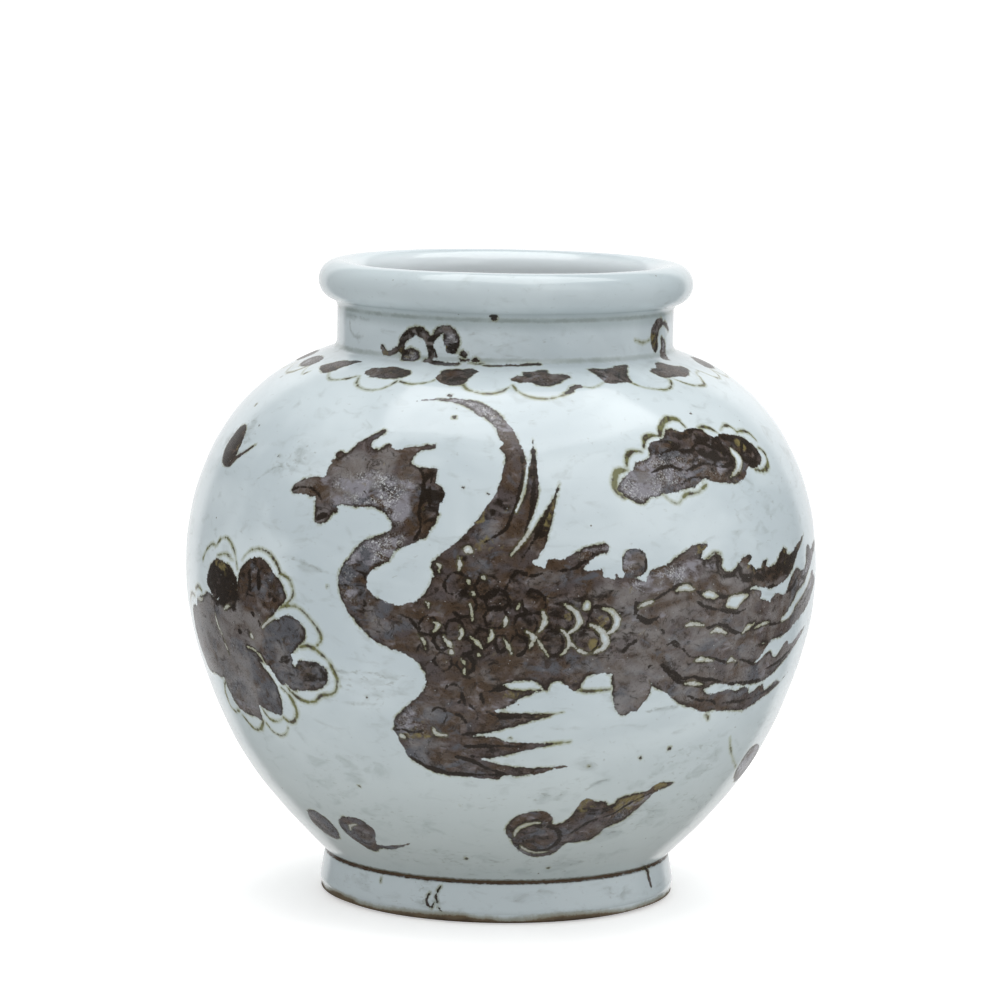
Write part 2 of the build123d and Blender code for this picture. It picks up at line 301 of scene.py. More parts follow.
FILLED = [
    HEAD_AND_NECK, BODY, LOWER_WING, LONG_FEATHER, SECOND_FEATHER, THIRD_FEATHER, LEG, TAIL_ROOT,
    TOP_STRAND, SECOND_STRAND, THIRD_STRAND, FOURTH_STRAND, LOWEST_STRAND, CLOUD, WISP, COMMA,
    ROUND_BLOT, LEFT_DROP, SIDE_BLOT, *PETALS, *SHOULDER_BLOTS,
]

# Places inside the filled shapes that the brush left bare
LEFT_BARE = [
    CLOUD_GAP,
    [(90, 180.8), (96, 183.8), (100, 182), (102, 180.6), (95, 180.3)],
    [(106, 177.5), (110, 179.5), (117, 176.3), (113, 175)],
    [(122, 171), (125, 175), (130, 175.7), (137, 175.5), (139, 174), (134, 171.5), (130, 168.5), (123, 170)],
    [(40, 173.5), (41.5, 178), (44, 177), (43.5, 173)],
]

# A stroke of the brush is its width at the start, at the middle and at the end, and its path
BARE_STROKES = [
    (0.8, 1.2, 0.6, [(13, 243), (12, 236), (10.5, 229), (7, 221)]),
    (2.6, 1.6, 0.8, [(19, 221), (14, 212), (8, 204), (4.5, 200)]),
    (1, 2, 1, [(69, 173.8), (73, 175.3), (77, 176)]),
    (3, 3.5, 3.5, [(173, 158.5), (182, 160.5), (188, 165), (195, 168), (203, 171.5), (213, 176)]),
    (0.8, 2.4, 0.8, [(136, 155.5), (140, 158.2), (145, 159.5)]),
    (0.8, 1.4, 0.8, [(146, 157.3), (152, 158.2), (159, 158.8)]),
    (1, 2.2, 1, [(113, 158.3), (117, 159.2), (124, 157)]),
    (1, 1.6, 0.8, [(97, 163), (101, 163.8), (108, 162.2)]),
    (0.8, 2.2, 0.8, [(104, 144.3), (108, 144.8), (117, 143.4)]),
    (1, 2, 1, [(128, 141.4), (130, 142.6), (134, 141.6)]),
    (0.6, 2, 0.8, [(100, 132.8), (106, 132.4), (113, 131)]),
    (0.8, 3.2, 1, [(-19, 203), (-17, 202.5), (-14.5, 201.5)]),
    (0.8, 2, 0.8, [(-21, 198), (-20.5, 195), (-21, 192.5)]),
    (0.6, 1.8, 0.6, [(-32, 195), (-30.5, 194), (-30.5, 191)]),
    (0.6, 1.8, 0.6, [(-9.5, 189.5), (-8.5, 189), (-7.5, 187.5)]),
    (0.6, 1.6, 0.6, [(-17, 188), (-16, 187), (-15.5, 185.5)]),
    (0.6, 1.5, 0.6, [(-14, 182), (-13.5, 181), (-12.5, 180)]),
    (0.6, 1.5, 0.6, [(-36.5, 176), (-35.5, 175), (-35, 173.5)]),
    (0.6, 1.2, 0.6, [(-15, 176), (-14, 172), (-13.5, 168)]),
    (0.6, 1.2, 0.6, [(9, 177), (8.6, 175.5), (8, 174)]),
    (0.8, 2, 0.8, [(2.5, 170), (2.6, 168), (2, 165.5)]),
    (0.8, 2.6, 1, [(20.5, 173), (21.5, 168), (19, 163)]),
    (1, 2.8, 1, [(30, 176.5), (36, 173), (38.5, 168), (37, 164.5), (34, 162.5)]),
    (1, 3.2, 1, [(50, 174), (55, 172), (58, 168), (56, 163), (53, 161.5)]),
    (0.8, 1.8, 0.8, [(28.5, 164.5), (33, 160.5), (33.5, 155.5), (30, 151)]),
    (1, 3.6, 1.2, [(44, 166), (49, 163.5), (52, 158.5), (52, 155), (47.5, 152.5)]),
    (0.6, 1.3, 0.6, [(34, 158), (38, 154), (42, 152), (46, 151.5)]),
    (0.8, 2.2, 0.8, [(12.5, 163), (16, 160), (14.5, 154.5)]),
    (0.8, 2.2, 0.8, [(-4.5, 163.5), (-4, 160), (-6, 157.5)]),
    (0.8, 1.7, 0.8, [(1.5, 159.5), (4, 156), (5.5, 152)]),
    (0.6, 1.3, 0.6, [(17, 161), (20, 156), (24, 150.5)]),
    (0.8, 1.8, 0.8, [(-20, 165), (-18.5, 162), (-20, 158.5)]),
    (0.8, 2.2, 0.8, [(-33, 166.5), (-30.5, 165), (-33, 161.5)]),
    (0.6, 1.2, 0.6, [(-40, 160), (-37.5, 156.5), (-37, 153)]),
    (0.8, 2.2, 0.8, [(-28, 159.5), (-25, 156), (-23.5, 154.5)]),
    (0.6, 1.8, 0.6, [(-25, 152.5), (-24, 152), (-23, 151.2)]),
    (0.8, 1.7, 0.8, [(-14.5, 160), (-11, 157), (-9, 154.5)]),
    (0.6, 1.6, 0.6, [(-11, 151.8), (-10.5, 151), (-9.5, 150.2)]),
    (0.6, 1.2, 0.6, [(-19, 148.5), (-18, 147), (-17, 145.5)]),
    (0.6, 1.2, 0.6, [(-17.5, 144), (-17.6, 142), (-17, 140.5)]),
    (0.8, 2, 0.8, [(-35, 111), (-33, 107.5), (-28, 107)]),
    (0.8, 2.2, 0.8, [(-53.5, 105), (-52.5, 105), (-51, 104)]),
    (0.8, 1.8, 1, [(-202, 161.3), (-198, 160.4), (-193, 161.5)]),
    (0.6, 1.4, 0.6, [(-177, 156), (-175.5, 151), (-172, 146)]),
    (0.4, 0.8, 0.4, [(-171, 144), (-169.6, 140), (-167.6, 136)]),
    (0.6, 1.6, 0.6, [(-166, 160), (-163, 161.4), (-160, 162)]),
    (0.6, 1.6, 0.6, [(-144, 150.3), (-143, 149.5), (-141.5, 148.4)]),
    (0.8, 1.3, 1, [(-148, 143), (-142, 142), (-137.6, 139), (-133.6, 132.6), (-129.6, 127), (-126, 121.5)]),
    (1, 1.6, 1, [(-120, 163.6), (-126, 159.8), (-133, 155)]),
    (1, 2.1, 1, [(12, 43), (13, 47), (17, 50.5), (22, 52.5), (28, 52.8)]),
    (0.8, 1.3, 0.8, [(17, 35), (22, 31), (30, 28.8), (38, 29.5)]),
    (0.8, 1.6, 0.8, [(-116, 36), (-113, 39.5), (-106, 41.5)]),
]

# Strokes as thick and dark as the filled shapes
DARK_STROKES = [
    (13.8, 14.4, 13.8, [(67.3, 195.4), (67.5, 195.5), (67.7, 195.6)]),
    (4.2, 4.6, 4.2, [(-95.7, 245.9), (-95.5, 246), (-95.3, 246.1)]),
    (2.6, 2.8, 2.6, [(-98.7, 242.2), (-98.5, 242.3), (-98.3, 242.4)]),
    (2.4, 2.8, 2.4, [(-89.2, 217.4), (-89, 217.5), (-88.8, 217.6)]),
    (4, 2.6, 0.6, [(-186, 232), (-181, 236), (-174, 240), (-166, 245)]),
    (3, 2.8, 3.6, [(-129, 323.6), (-126, 321.6), (-119, 320.8), (-112, 322.6), (-106, 325)]),
    (3.6, 5.2, 2.8, [(-105, 323), (-103.6, 328), (-95, 332), (-86, 333.4), (-78, 331.4), (-73.4, 327.6),
                     (-71.6, 323), (-72, 319.4)]),
    (2.4, 4.8, 5, [(-72, 327), (-69.6, 330.6), (-64, 334), (-57, 335), (-50.6, 333), (-47.4, 329),
                   (-49, 325.6)]),
    (6.4, 8, 6, [(-54, 332), (-51.6, 329.4), (-51.4, 326)]),
    (0.8, 1.4, 0.9, [(-70.6, 327), (-68, 323.4), (-65.4, 320.6)]),
    (7, 7.8, 7, [(-97.5, 320.4), (-94, 321), (-90, 320.6)]),
    (2.6, 4, 3, [(-76, 318.6), (-64, 317), (-54, 316.2), (-44, 316.8)]),
    (3.4, 3.8, 3.4, [(-39.6, 323), (-38.8, 323), (-38, 322.8)]),
    (0.8, 2, 1.4, [(-44, 321), (-40, 320), (-34, 320)]),
    (1.6, 2.8, 1.6, [(-30, 319.8), (-27.5, 320.2), (-25, 319.8)]),
    (1.2, 2.1, 1.6, [(-19, 316.4), (-4, 316.4), (14, 317.2), (32, 318.5)]),
    (4, 8.4, 6, [(188, 336.6), (178, 335), (172, 329.6), (175, 324.6)]),
    (1.4, 2.6, 1.4, [(184, 336), (198, 335.4), (210, 331.6)]),
    (2.4, 6.6, 5.6, [(189, 328), (195, 323.4), (186, 317.6)]),
    (1.4, 3, 3, [(44, 290.5), (48, 292), (51, 295), (57, 296.5)]),
    (1.2, 2, 1, [(-112, 23.5), (-104, 21.8), (-98, 24.5)]),
    (3.6, 4.2, 3.6, [(-11, 342.2), (-11, 343), (-11, 343.8)]),
    (2.6, 2.6, 2.2, [(168.6, 1.5), (169.8, -1.5), (171.5, -6), (173.4, -10.6)]),
    (0.6, 0.9, 0.7, [(-51.6, -3.4), (-54, -6), (-55.4, -9), (-53.6, -11.4)]),
    (0.6, 1.6, 0.8, [(-62, -7.6), (-64.4, -11), (-62, -13.8), (-58.6, -14.4), (-57.4, -12.4)]),
    (0.5, 0.8, 0.5, [(-52.6, -14.4), (-49, -16.2)]),
    (0.5, 0.9, 0.5, [(-116, -2.6), (-115.4, -5)]),
]

# Dark lines drawn over the painting: plumage, overlaps and the rims of the scales
DRAWN_LINES = [
    (1, 1.9, 1, [(-47, 244), (-43, 238), (-42, 230), (-43, 220), (-41, 212), (-44, 206)]),
    (0.8, 1.4, 0.8, [(-38, 240), (-38.5, 230), (-37, 220)]),
    (0.8, 1.5, 0.8, [(-120, 225.5), (-112, 227.5), (-104, 226), (-99, 222)]),
    (1.8, 2.7, 1.5, [(-99, 212.5), (-97, 214), (-94.5, 214.6)]),
    (0.8, 1.4, 0.8, [(-50, 170), (-43, 166), (-39, 158), (-42, 150)]),
    (1, 1.8, 1, [(10.4, 249), (10.6, 240), (9, 231), (6, 222), (1, 212), (-5, 208), (-9, 206)]),
    (1, 1.9, 1, [(10, 205), (14, 219), (16.5, 235), (17, 252)]),
    (1, 1.6, 0.8, [(11, 200), (18, 211), (24, 223)]),
    (1, 1.9, 1, [(2, 184), (7, 192), (12, 191)]),
    (0.8, 1.6, 1, [(14, 190), (24, 192), (36, 194), (46, 200)]),
    (0.8, 1.7, 0.8, [(-57, 107.5), (-52, 109), (-46, 107.6), (-41, 108.8)]),
    (0.8, 1.6, 1.2, [(-22, 119), (-19, 118), (-17, 115)]),
    (0.8, 1.8, 1.2, [(-19, 108), (-5, 109.6), (5, 111.6)]),
    (0.8, 2.2, 1.4, [(-18, 101), (-5, 102), (9, 101.6)]),
    (1, 2.2, 1.6, [(-23, 95), (-15, 93), (-7, 89), (3, 85.4)]),
    (0.8, 2, 1.2, [(-15, 95.5), (0, 94.6), (14, 93.4)]),
    (1.2, 3, 1.4, [(-5, 132), (3, 134.6), (10, 136)]),
    (0.8, 1.2, 0.8, [(-28, 131), (-26, 134.6), (-22, 135), (-19, 132), (-20, 126)]),
    (0.8, 1.7, 0.8, [(-19, 132), (-18.6, 128), (-17, 124)]),
    (0.8, 1.7, 0.8, [(-9, 132), (-9, 128.6), (-7.6, 125)]),
    (0.8, 1.3, 0.8, [(-36, 118), (-33, 122), (-29, 122), (-27, 118.6), (-29, 114)]),
    (0.8, 1.5, 0.8, [(-15, 124), (-11, 120), (-12, 115)]),
    (0.8, 2.2, 1, [(-7, 121), (1, 118.6), (11, 118.6)]),
    (0.8, 2.2, 1.2, [(-50, 93), (-40, 88), (-28, 85), (-12, 84.5), (4, 85)]),
    (1.4, 2.2, 1.2, [(67, 176), (74, 176), (79, 177.4), (84, 180), (89, 182), (98, 183.4), (101, 180.6),
                     (107, 177.4), (112, 175.4)]),
    (1.2, 1.8, 1.4, [(118, 176), (122, 175.2), (130, 176), (138, 176.6), (141, 178), (152, 176.6), (165, 177)]),
    (0.9, 1.4, 0.8, [(97, 166.6), (105, 163.4), (111, 160.6), (117, 162), (124, 160), (129, 157), (137, 156),
                     (146, 158.6), (158, 157.4), (172, 157)]),
    (1, 1.6, 1, [(90, 154), (96, 151), (101, 147), (108, 146), (115, 145), (125, 142), (135, 142), (144, 140),
                 (150, 138)]),
    (0.8, 1.4, 0.8, [(77, 143.6), (81, 145), (85, 143.4), (88, 140.6), (93, 139), (98, 135.6), (105, 136),
                     (112, 134), (119, 133), (133, 129.6), (148, 128.4), (161, 128)]),
    (1, 1.6, 0.8, [(88, 142), (90, 138.4), (95, 135), (100, 133), (106, 131), (112, 129.6)]),
    (1, 3, 1.6, [(67.5, 178), (68, 174.5), (67.5, 171)]),
    (1.6, 2.6, 1.2, [(69, 169), (74, 166.6), (80, 168)]),
    (0.8, 1.3, 0.8, [(86, 154), (90, 155.4), (94, 153.4), (96, 150.6)]),
    (0.8, 1.4, 0.8, [(62, 152), (65, 155), (69, 157.6)]),
    (0.6, 1, 0.6, [(102, 175), (109, 171.4), (119, 169), (132, 166.6), (140, 169)]),
    (0.8, 1.4, 0.8, [(104, 126), (112, 122.6), (122, 121.4), (128, 118)]),
    (0.8, 1.4, 0.8, [(176, 172), (183, 174), (189, 177.6)]),
    (2.2, 3, 1.6, [(-142, 182), (-141.4, 178), (-141, 173)]),
    (1.8, 2.6, 1.6, [(-135, 183), (-134.6, 179), (-135, 174)]),
    (2, 2.2, 2, [(-153.5, 150), (-153, 150), (-152.5, 150)]),
    (1.6, 1.8, 1.6, [(-140.6, 161.4), (-139.6, 160.8), (-139, 160)]),
    (1.2, 1.8, 1.2, [(-136, 158), (-134.6, 156.8), (-134.8, 155)]),
    (1.4, 1.6, 1.4, [(-123.6, 170), (-123, 170), (-122.4, 170)]),
    (0.6, 1.2, 0.6, [(180, 160), (196, 162), (212, 168), (222, 173)]),
    (0.6, 1.2, 0.6, [(158, 133), (176, 135), (192, 140)]),
    (0.6, 1.2, 0.6, [(132, 119), (150, 118), (170, 119.5), (188, 122)]),
    (1, 1.9, 1, [(74, 198), (73.5, 192), (70, 189)]),
    (1, 1.9, 1, [(94, 250), (104, 252), (114, 250), (124, 254), (136, 250), (146, 246)]),
    (1, 1.9, 1, [(84, 240), (96, 243), (108, 240), (122, 243), (136, 240), (146, 242)]),
    (1, 1.9, 1, [(158, 246), (164, 252), (170, 249), (171, 243), (165, 240), (158, 241)]),
    (1, 1.6, 1, [(100, 232), (110, 236), (122, 235)]),
    (1, 1.9, 1, [(18, 40), (20, 34), (28, 31), (38, 32), (44, 38), (42, 46), (34, 50)]),
    (1, 1.6, 1, [(52, 44), (62, 52), (76, 56), (88, 64), (100, 69)]),
    (1, 1.6, 1, [(54, 62), (64, 60), (76, 62)]),
    (1, 1.6, 1, [(-158, 36), (-152, 31), (-143, 30), (-137, 34)]),
    (1, 1.6, 1, [(-119, 30), (-108, 26), (-100, 28)]),
]

# The dark rims of the scales, as how wide they are drawn in the middle and the places that they go round
SCALE_RIMS = [
    (1.5, [(22, 171), (25, 176), (31, 176), (35, 171), (34, 165), (28, 163), (23, 166)]),
    (1.5, [(43, 170), (45, 174.5), (51, 174), (55, 169), (53, 163), (47, 163), (43, 166)]),
    (1.5, [(37, 160), (39, 164.5), (45, 164), (49, 158.5), (46, 153), (40, 153), (37, 156)]),
    (1.3, [(20, 158), (23, 163), (29, 162), (31, 156), (28, 151), (22, 152)]),
    (1.3, [(6, 166), (9, 171), (15, 171), (18, 166), (15, 161), (9, 161)]),
    (1.3, [(4, 156), (7, 160.5), (12, 159.5), (13, 155), (10, 151), (5, 152)]),
    (1.3, [(-8, 170), (-5, 174.5), (1, 174), (3, 169), (0, 165), (-6, 165)]),
    (1.3, [(-13, 159), (-11, 163.5), (-6, 163), (-5, 158), (-8, 154.5), (-12, 155)]),
    (1.3, [(-3, 157), (-1, 161), (2, 160), (3, 156), (0, 152.5)]),
    (1.3, [(-27, 163), (-25, 167.5), (-20, 167), (-18, 162), (-21, 158), (-26, 158.5)]),
    (1.3, [(-40, 165), (-37, 169), (-32, 168), (-31, 163), (-34, 160), (-39, 161)]),
    (1.3, [(-33, 157), (-31, 161), (-26, 160), (-25, 155), (-29, 152.5)]),
    (1.3, [(-22, 156), (-19, 159), (-14, 158), (-13, 153), (-18, 151)]),
    (1.3, [(-24, 176), (-20, 181), (-14, 180), (-12, 175), (-16, 170), (-22, 171)]),
    (1.3, [(-13, 185), (-9, 190), (-3, 189), (-1, 184), (-5, 180), (-11, 180)]),
    (1.3, [(-28, 186), (-24, 191), (-18, 190), (-16, 185), (-20, 181), (-26, 181)]),
    (1.3, [(-8, 179), (-4, 183), (2, 182), (4, 177), (0, 174), (-6, 174)]),
    (1.3, [(10, 178), (14, 183), (20, 181), (22, 176), (18, 172), (12, 173)]),
    (1.3, [(-22, 146), (-19, 150), (-14, 149), (-13, 144), (-17, 141)]),
    (1.3, [(-33, 147), (-30, 151), (-25, 150), (-24, 145), (-28, 142)]),
]
DRAWN_LINES += [(0.8, middle, 0.8, rim + rim[:1]) for middle, rim in SCALE_RIMS]

# Thin strokes, where the iron has run out to olive in the glaze
THIN_STROKES = [
    (1, 1.4, 1, [(-174, 186), (-165, 188), (-157, 186)]),
    (0.9, 1.4, 0.9, [(-192, 182), (-188, 187), (-182, 190.5), (-175, 191)]),
    (0.9, 1.4, 0.9, [(-177, 190), (-172, 194.5), (-166, 196), (-160, 193.5), (-155, 188), (-152.5, 182)]),
    (0.9, 1.5, 0.9, [(-149, 187), (-144, 191.5), (-136, 194), (-129, 193), (-123, 189), (-119, 184)]),
    (0.9, 1.5, 0.9, [(-119.5, 183.5), (-115, 182.5), (-111.5, 179.5), (-110, 175), (-112, 171), (-115, 169)]),
    (1.2, 1.9, 1.2, [(-120, 166), (-115, 168), (-108, 168), (-102, 165), (-97, 160.5), (-94, 156.5),
                     (-93.5, 152.5), (-96, 150)]),
    (1.2, 2, 1.4, [(-107, 148), (-102, 149), (-96, 147), (-90.5, 142.5), (-87.5, 137), (-86.5, 131),
                   (-88.5, 126.5), (-92, 124.5), (-98, 123), (-103, 119.5), (-108, 118.5), (-114, 119.5),
                   (-119, 122.5), (-122, 126)]),
    (0.9, 1.4, 0.9, [(-149, 110), (-144, 104), (-137, 103.5), (-130, 107)]),
    (1.3, 2.4, 1.8, [(-126, 124), (-122, 121), (-119, 116), (-118.5, 111), (-121, 107), (-126, 104.5),
                     (-131, 106.5)]),
    (1, 1.6, 1, [(-149, 100.5), (-145, 96.5), (-139, 95), (-133, 97), (-129.5, 101)]),
    (0.9, 1.4, 0.9, [(-181, 120), (-187, 116), (-190, 110), (-189, 104), (-184, 102), (-177, 103.5)]),
    (1, 1.6, 1, [(-175, 101), (-170, 97), (-165, 94.5), (-159, 95.5), (-154, 99), (-151, 102)]),
    (0.8, 1.2, 0.8, [(-223, 153), (-220, 158), (-214, 161.5), (-207, 161)]),
    (0.8, 1.2, 0.8, [(-205, 165), (-200, 167), (-194, 165.5)]),
    (1.8, 3.5, 1.8, [(98, 260), (101, 264.5), (106, 268.5), (112, 270), (118, 268.5), (120.5, 264)]),
    (1.6, 3, 1.6, [(84, 254), (86.5, 258.5), (91, 260.3), (97, 260)]),
    (1.6, 3.2, 1.8, [(70, 244), (71.5, 249), (76, 252), (81.5, 251.5)]),
    (0.9, 1.6, 0.9, [(131, 263), (137, 263), (142, 261), (145.5, 258.5)]),
    (0.9, 1.6, 0.9, [(149, 260), (155, 262), (161, 261.5), (165, 257.5)]),
    (0.8, 1.4, 0.8, [(165, 257.5), (172, 257.5), (178, 255), (181, 251)]),
    (1.3, 2.3, 1.6, [(179, 247), (183, 244), (182, 239), (178, 236), (171, 235), (164, 236)]),
    (0.9, 1.5, 0.9, [(88, 229), (92, 225), (97, 223.5), (101, 226.5), (104, 228), (110, 228), (116, 230.5),
                     (119, 232)]),
    (1.8, 3.2, 1.8, [(70, 242), (64, 241.5), (61, 237), (61, 232), (65, 228)]),
    (0.8, 1.2, 0.6, [(38, 133), (45, 132), (57, 132.5)]),
    (1.2, 1.8, 1, [(0, 131.5), (9, 131.8), (18, 132.6)]),
    (0.9, 0.9, 0.4, [(24, 102), (31, 103.3), (39, 104.2)]),
    (0.9, 0.9, 0.4, [(21, 118.6), (27, 119.6), (33, 120.8)]),
    (1.6, 2, 1.2, [(111, 195.5), (115, 197.8), (120, 197)]),
    (0.8, 1.2, 0.6, [(120, 113.8), (123, 112.4), (124, 110.6)]),
    (0.7, 1, 0.6, [(-178, 301), (-168, 298.4), (-157, 298)]),
    (0.8, 1.1, 0.8, [(-157, 298), (-150, 293.5), (-141, 291.5), (-130, 293.5), (-121, 297.5)]),
    (0.9, 1.3, 0.9, [(-120, 297.5), (-116, 291.5), (-108, 288), (-100, 287), (-92, 288.5), (-86, 292),
                     (-83.5, 296)]),
    (0.8, 1.1, 0.8, [(-81, 296), (-75, 294.5), (-67, 294.5), (-58, 296.5), (-54, 299)]),
    (0.8, 1.1, 0.8, [(-31, 296), (-26, 292), (-18, 290), (-10, 289.5), (-2, 291.5), (3, 295)]),
    (0.8, 1.1, 0.9, [(6, 297), (10, 292), (17, 288), (27, 286.5), (36, 287.5), (44, 290)]),
    (0.8, 1.1, 0.8, [(59, 296), (66, 295), (73, 296.5), (79, 299)]),
    (0.8, 1.1, 0.8, [(103, 297), (109, 293.5), (118, 291), (130, 290), (137, 292), (144, 297)]),
    (0.7, 1, 0.7, [(150, 297), (158, 292.5), (168, 290), (178, 290), (184, 294), (190, 299), (200, 300.5)]),
    (0.8, 1.1, 0.8, [(-196, 299), (-191, 294), (-185, 292), (-180, 295)]),
    (0.8, 1.1, 0.8, [(-236, 298), (-230, 293), (-222, 290), (-212, 290.5), (-203, 294), (-197, 298.5)]),
    (0.8, 1.1, 0.8, [(202, 299), (208, 294), (216, 291.5), (224, 293), (229, 298)]),
    (0.8, 1.1, 0.8, [(230, 297), (237, 291.5), (246, 289), (256, 290), (264, 293), (270, 299)]),
    (0.8, 1.8, 1, [(140, 329), (152, 327.4), (165, 328.4)]),
    (0.6, 0.9, 0.4, [(150, 97), (156, 90), (166, 82), (180, 74)]),
    (0.6, 1, 0.6, [(-33, 318.2), (-26, 317.6), (-20, 318)]),
]

# Specks of iron, as a place and a width
SPECKS = [
    (-38, 287, 2.6), (-31, 272, 2), (-7.5, 230, 1.4), (-21, 233, 0.9), (-89, 180, 1.1), (132, 272, 1.6),
    (83, 92, 1.6), (101, 96, 2.2), (6, 106.5, 1), (91, 153, 1.2), (-175, 255, 1.6), (-216, 286, 1.8),
    (-203, 266, 1.4), (-140, 241, 1.2), (-22, 65, 1.2), (-88, 71, 1), (52, 89, 0.9), (112, 121, 1),
    (-70, 125, 0.8), (-24, 22, 1.4), (44, 14, 1.2),
]

# Soft patches where the pigment changes, as a place, half a width, half a height, a tilt and how much
# Where a pale patch lies, the iron also gets near-white speckles of painted sheen; the patches on the phoenix's neck
# and on the top of its long feather stand where the softbox's reflection falls
PALE_AND_SHEEN_PATCHES = [
    (-70, 231, 20, 7, 0, 1), (-78, 223, 14, 4, 0, 0.8), (-55, 222, 7, 9, 0, 1), (-64, 200, 16, 7, 20, 1),
    (-76, 184, 6, 12, 0, 0.5), (-30, 283, 34, 4, 0, 1), (-3, 273, 12, 8, -35, 1), (4, 262, 6, 8, 0, 0.6),
    (-95, 228, 14, 6, 0, 0.3), (76, 236, 16, 11, 0, 1), (96, 240, 18, 9, 0, 0.7), (120, 240, 16, 8, 0, 0.4),
    (84, 187, 20, 6, 10, 0.75), (64, 196, 5, 6, 0, 0.8), (104, 191, 10, 6, 0, 0.35), (-166, 116, 20, 12, 0, 0.2),
    (216, 180, 26, 16, 20, 0.7), (204, 148, 16, 7, 15, 0.6), (190, 125, 14, 6, 0, 0.4), (92, 61, 12, 7, 20, 0.5),
    (-208, 303, 18, 8, 0, 0.5), (-66, 322, 5, 6, 0, 0.5), (196, 76, 14, 10, 0, 1), (-48, 112, 10, 10, 0, 0.4),
    (48, 200, 10, 6, 0, 0.4), (-93, 320, 6, 5, 0, 0.6), (-53, 329, 6, 5, 0, 0.7), (192, 322, 8, 6, 0, 0.7),
]
DARK_PATCHES = [
    (-170, 174, 22, 14, 0, 1), (-37, 225, 8, 20, 0, 0.8), (16.5, 246, 4, 12, 0, 1), (24, 222, 8, 14, -25, 1),
    (-70, 186, 4, 14, 10, 0.5), (-3, 222, 4, 9, -40, 0.7), (0, 172, 42, 28, 0, 0.3), (165, 189, 50, 9, 0, 1),
    (214, 186, 30, 9, 15, 0.6), (120, 197, 16, 6, 0, 0.7), (152, 250, 34, 14, 0, 0.9),
    (112, 258, 20, 10, 0, 0.6), (16, 44, 14, 18, 0, 0.45), (-134, 178, 16, 12, 0, 0.4),
    (-105, 135, 16, 10, 0, 0.6), (-112, 153, 12, 8, 0, 0.3), (16, 108, 22, 28, 0, 0.4),
    (40, 165, 26, 16, 0, 0.6), (-90, 328, 24, 9, 0, 0.8), (-58, 326, 20, 10, 0, 0.8), (-193, 243, 8, 8, 0, 0.5),
    (180, 330, 24, 9, 0, 0.8), (46, 293, 12, 5, 0, 0.6), (60, 62, 16, 7, 0, 0.4), (-110, 24, 14, 5, 0, 0.5),
    (-147, 30, 14, 6, 0, 0.5), (72, 196, 3, 6, 0, 0.3), (-11, 343, 5, 4, 0, 1.5),
]
SLATE_PATCHES = [
    (-112, 154, 12, 12, 0, 1), (-104, 134, 16, 12, 0, 1), (-142, 122, 22, 20, 0, 0.9),
    (-168, 118, 22, 18, 0, 0.8), (-202, 142, 24, 24, 0, 0.9), (-42, 108, 18, 22, 0, 0.6),
    (-30, 92, 26, 12, 0, 0.6), (-76, 186, 12, 22, 0, 0.9), (-62, 166, 16, 12, 0, 0.6),
    (-60, 226, 30, 14, 0, 0.8), (30, 187, 22, 7, 0, 0.4), (40, 146, 26, 6, 0, 0.6), (70, 158, 14, 14, 0, 0.4),
    (110, 152, 34, 14, 0, 0.5), (68, 130, 12, 16, 0, 0.7), (100, 128, 30, 10, -15, 0.6),
    (90, 240, 32, 14, 0, 0.7), (30, 40, 16, 12, 0, 0.8), (78, 56, 20, 10, 20, 0.5), (-147, 35, 16, 13, 0, 0.6),
    (-108, 35, 18, 13, 0, 0.6), (-5, 192, 12, 12, 0, 0.3), (210, 165, 30, 24, 0, 0.7),
    (160, 128, 40, 14, 0, 0.5), (-135, 178, 12, 10, 0, 0.6), (-55, 328, 8, 6, 0, 0.8), (-90, 317, 8, 7, 0, 1),
    (-8, 212, 8, 8, -40, 0.7), (67, 196, 9, 9, 0, 0.9),
]
OCHRE_PATCHES = [
    (24, 221, 4, 9, -15, 1), (-168, 183, 12, 3, 0, 1), (-13, 219, 5, 4, 0, 0.9), (50, 168, 3.4, 3.4, 0, 1),
    (46, 156, 3.4, 3.4, 0, 1), (33, 170, 2.4, 2.4, 0, 1), (160, 250, 5, 4, 0, 1), (126, 192, 7, 4, 0, 0.9),
    (146, 189, 7, 4, 0, 0.8), (108, 200, 5, 3, 0, 0.8), (110, 266, 10, 4, 0, 0.7), (150, 260, 8, 4, 0, 0.6),
    (56, 64, 6, 6, 0, 0.8), (84, 64, 10, 6, 20, 0.9), (108, 74, 10, 4, 0, 1), (-8, 205, 5, 5, 0, 0.6),
    (-44, 107, 8, 4, 0, 0.7), (10, 131, 11, 3, 0, 0.8), (34, 104, 8, 3, 0, 1), (28, 119, 8, 3, 0, 1),
    (36, 89, 7, 2, 0, 0.7), (198, 196, 8, 4, 0, 0.7), (176, 192, 6, 3, 0, 0.6), (196, 125, 7, 3, 0, 0.7),
    (-128, 321, 8, 3, 0, 0.9), (-100, 323, 8, 4, 0, 0.5), (-30, 316, 12, 4, 0, 0.9), (-64, 326, 5, 4, 0, 0.6),
    (156, 328, 8, 3, 0, 1), (74, 250, 5, 3, 0, 0.6), (180, 240, 5, 5, 0, 0.6), (168, 328, 6, 4, 0, 1),
    (-176, 238, 8, 4, 20, 0.5), (-70, 30, 8, 2, 0, 0.6),
]

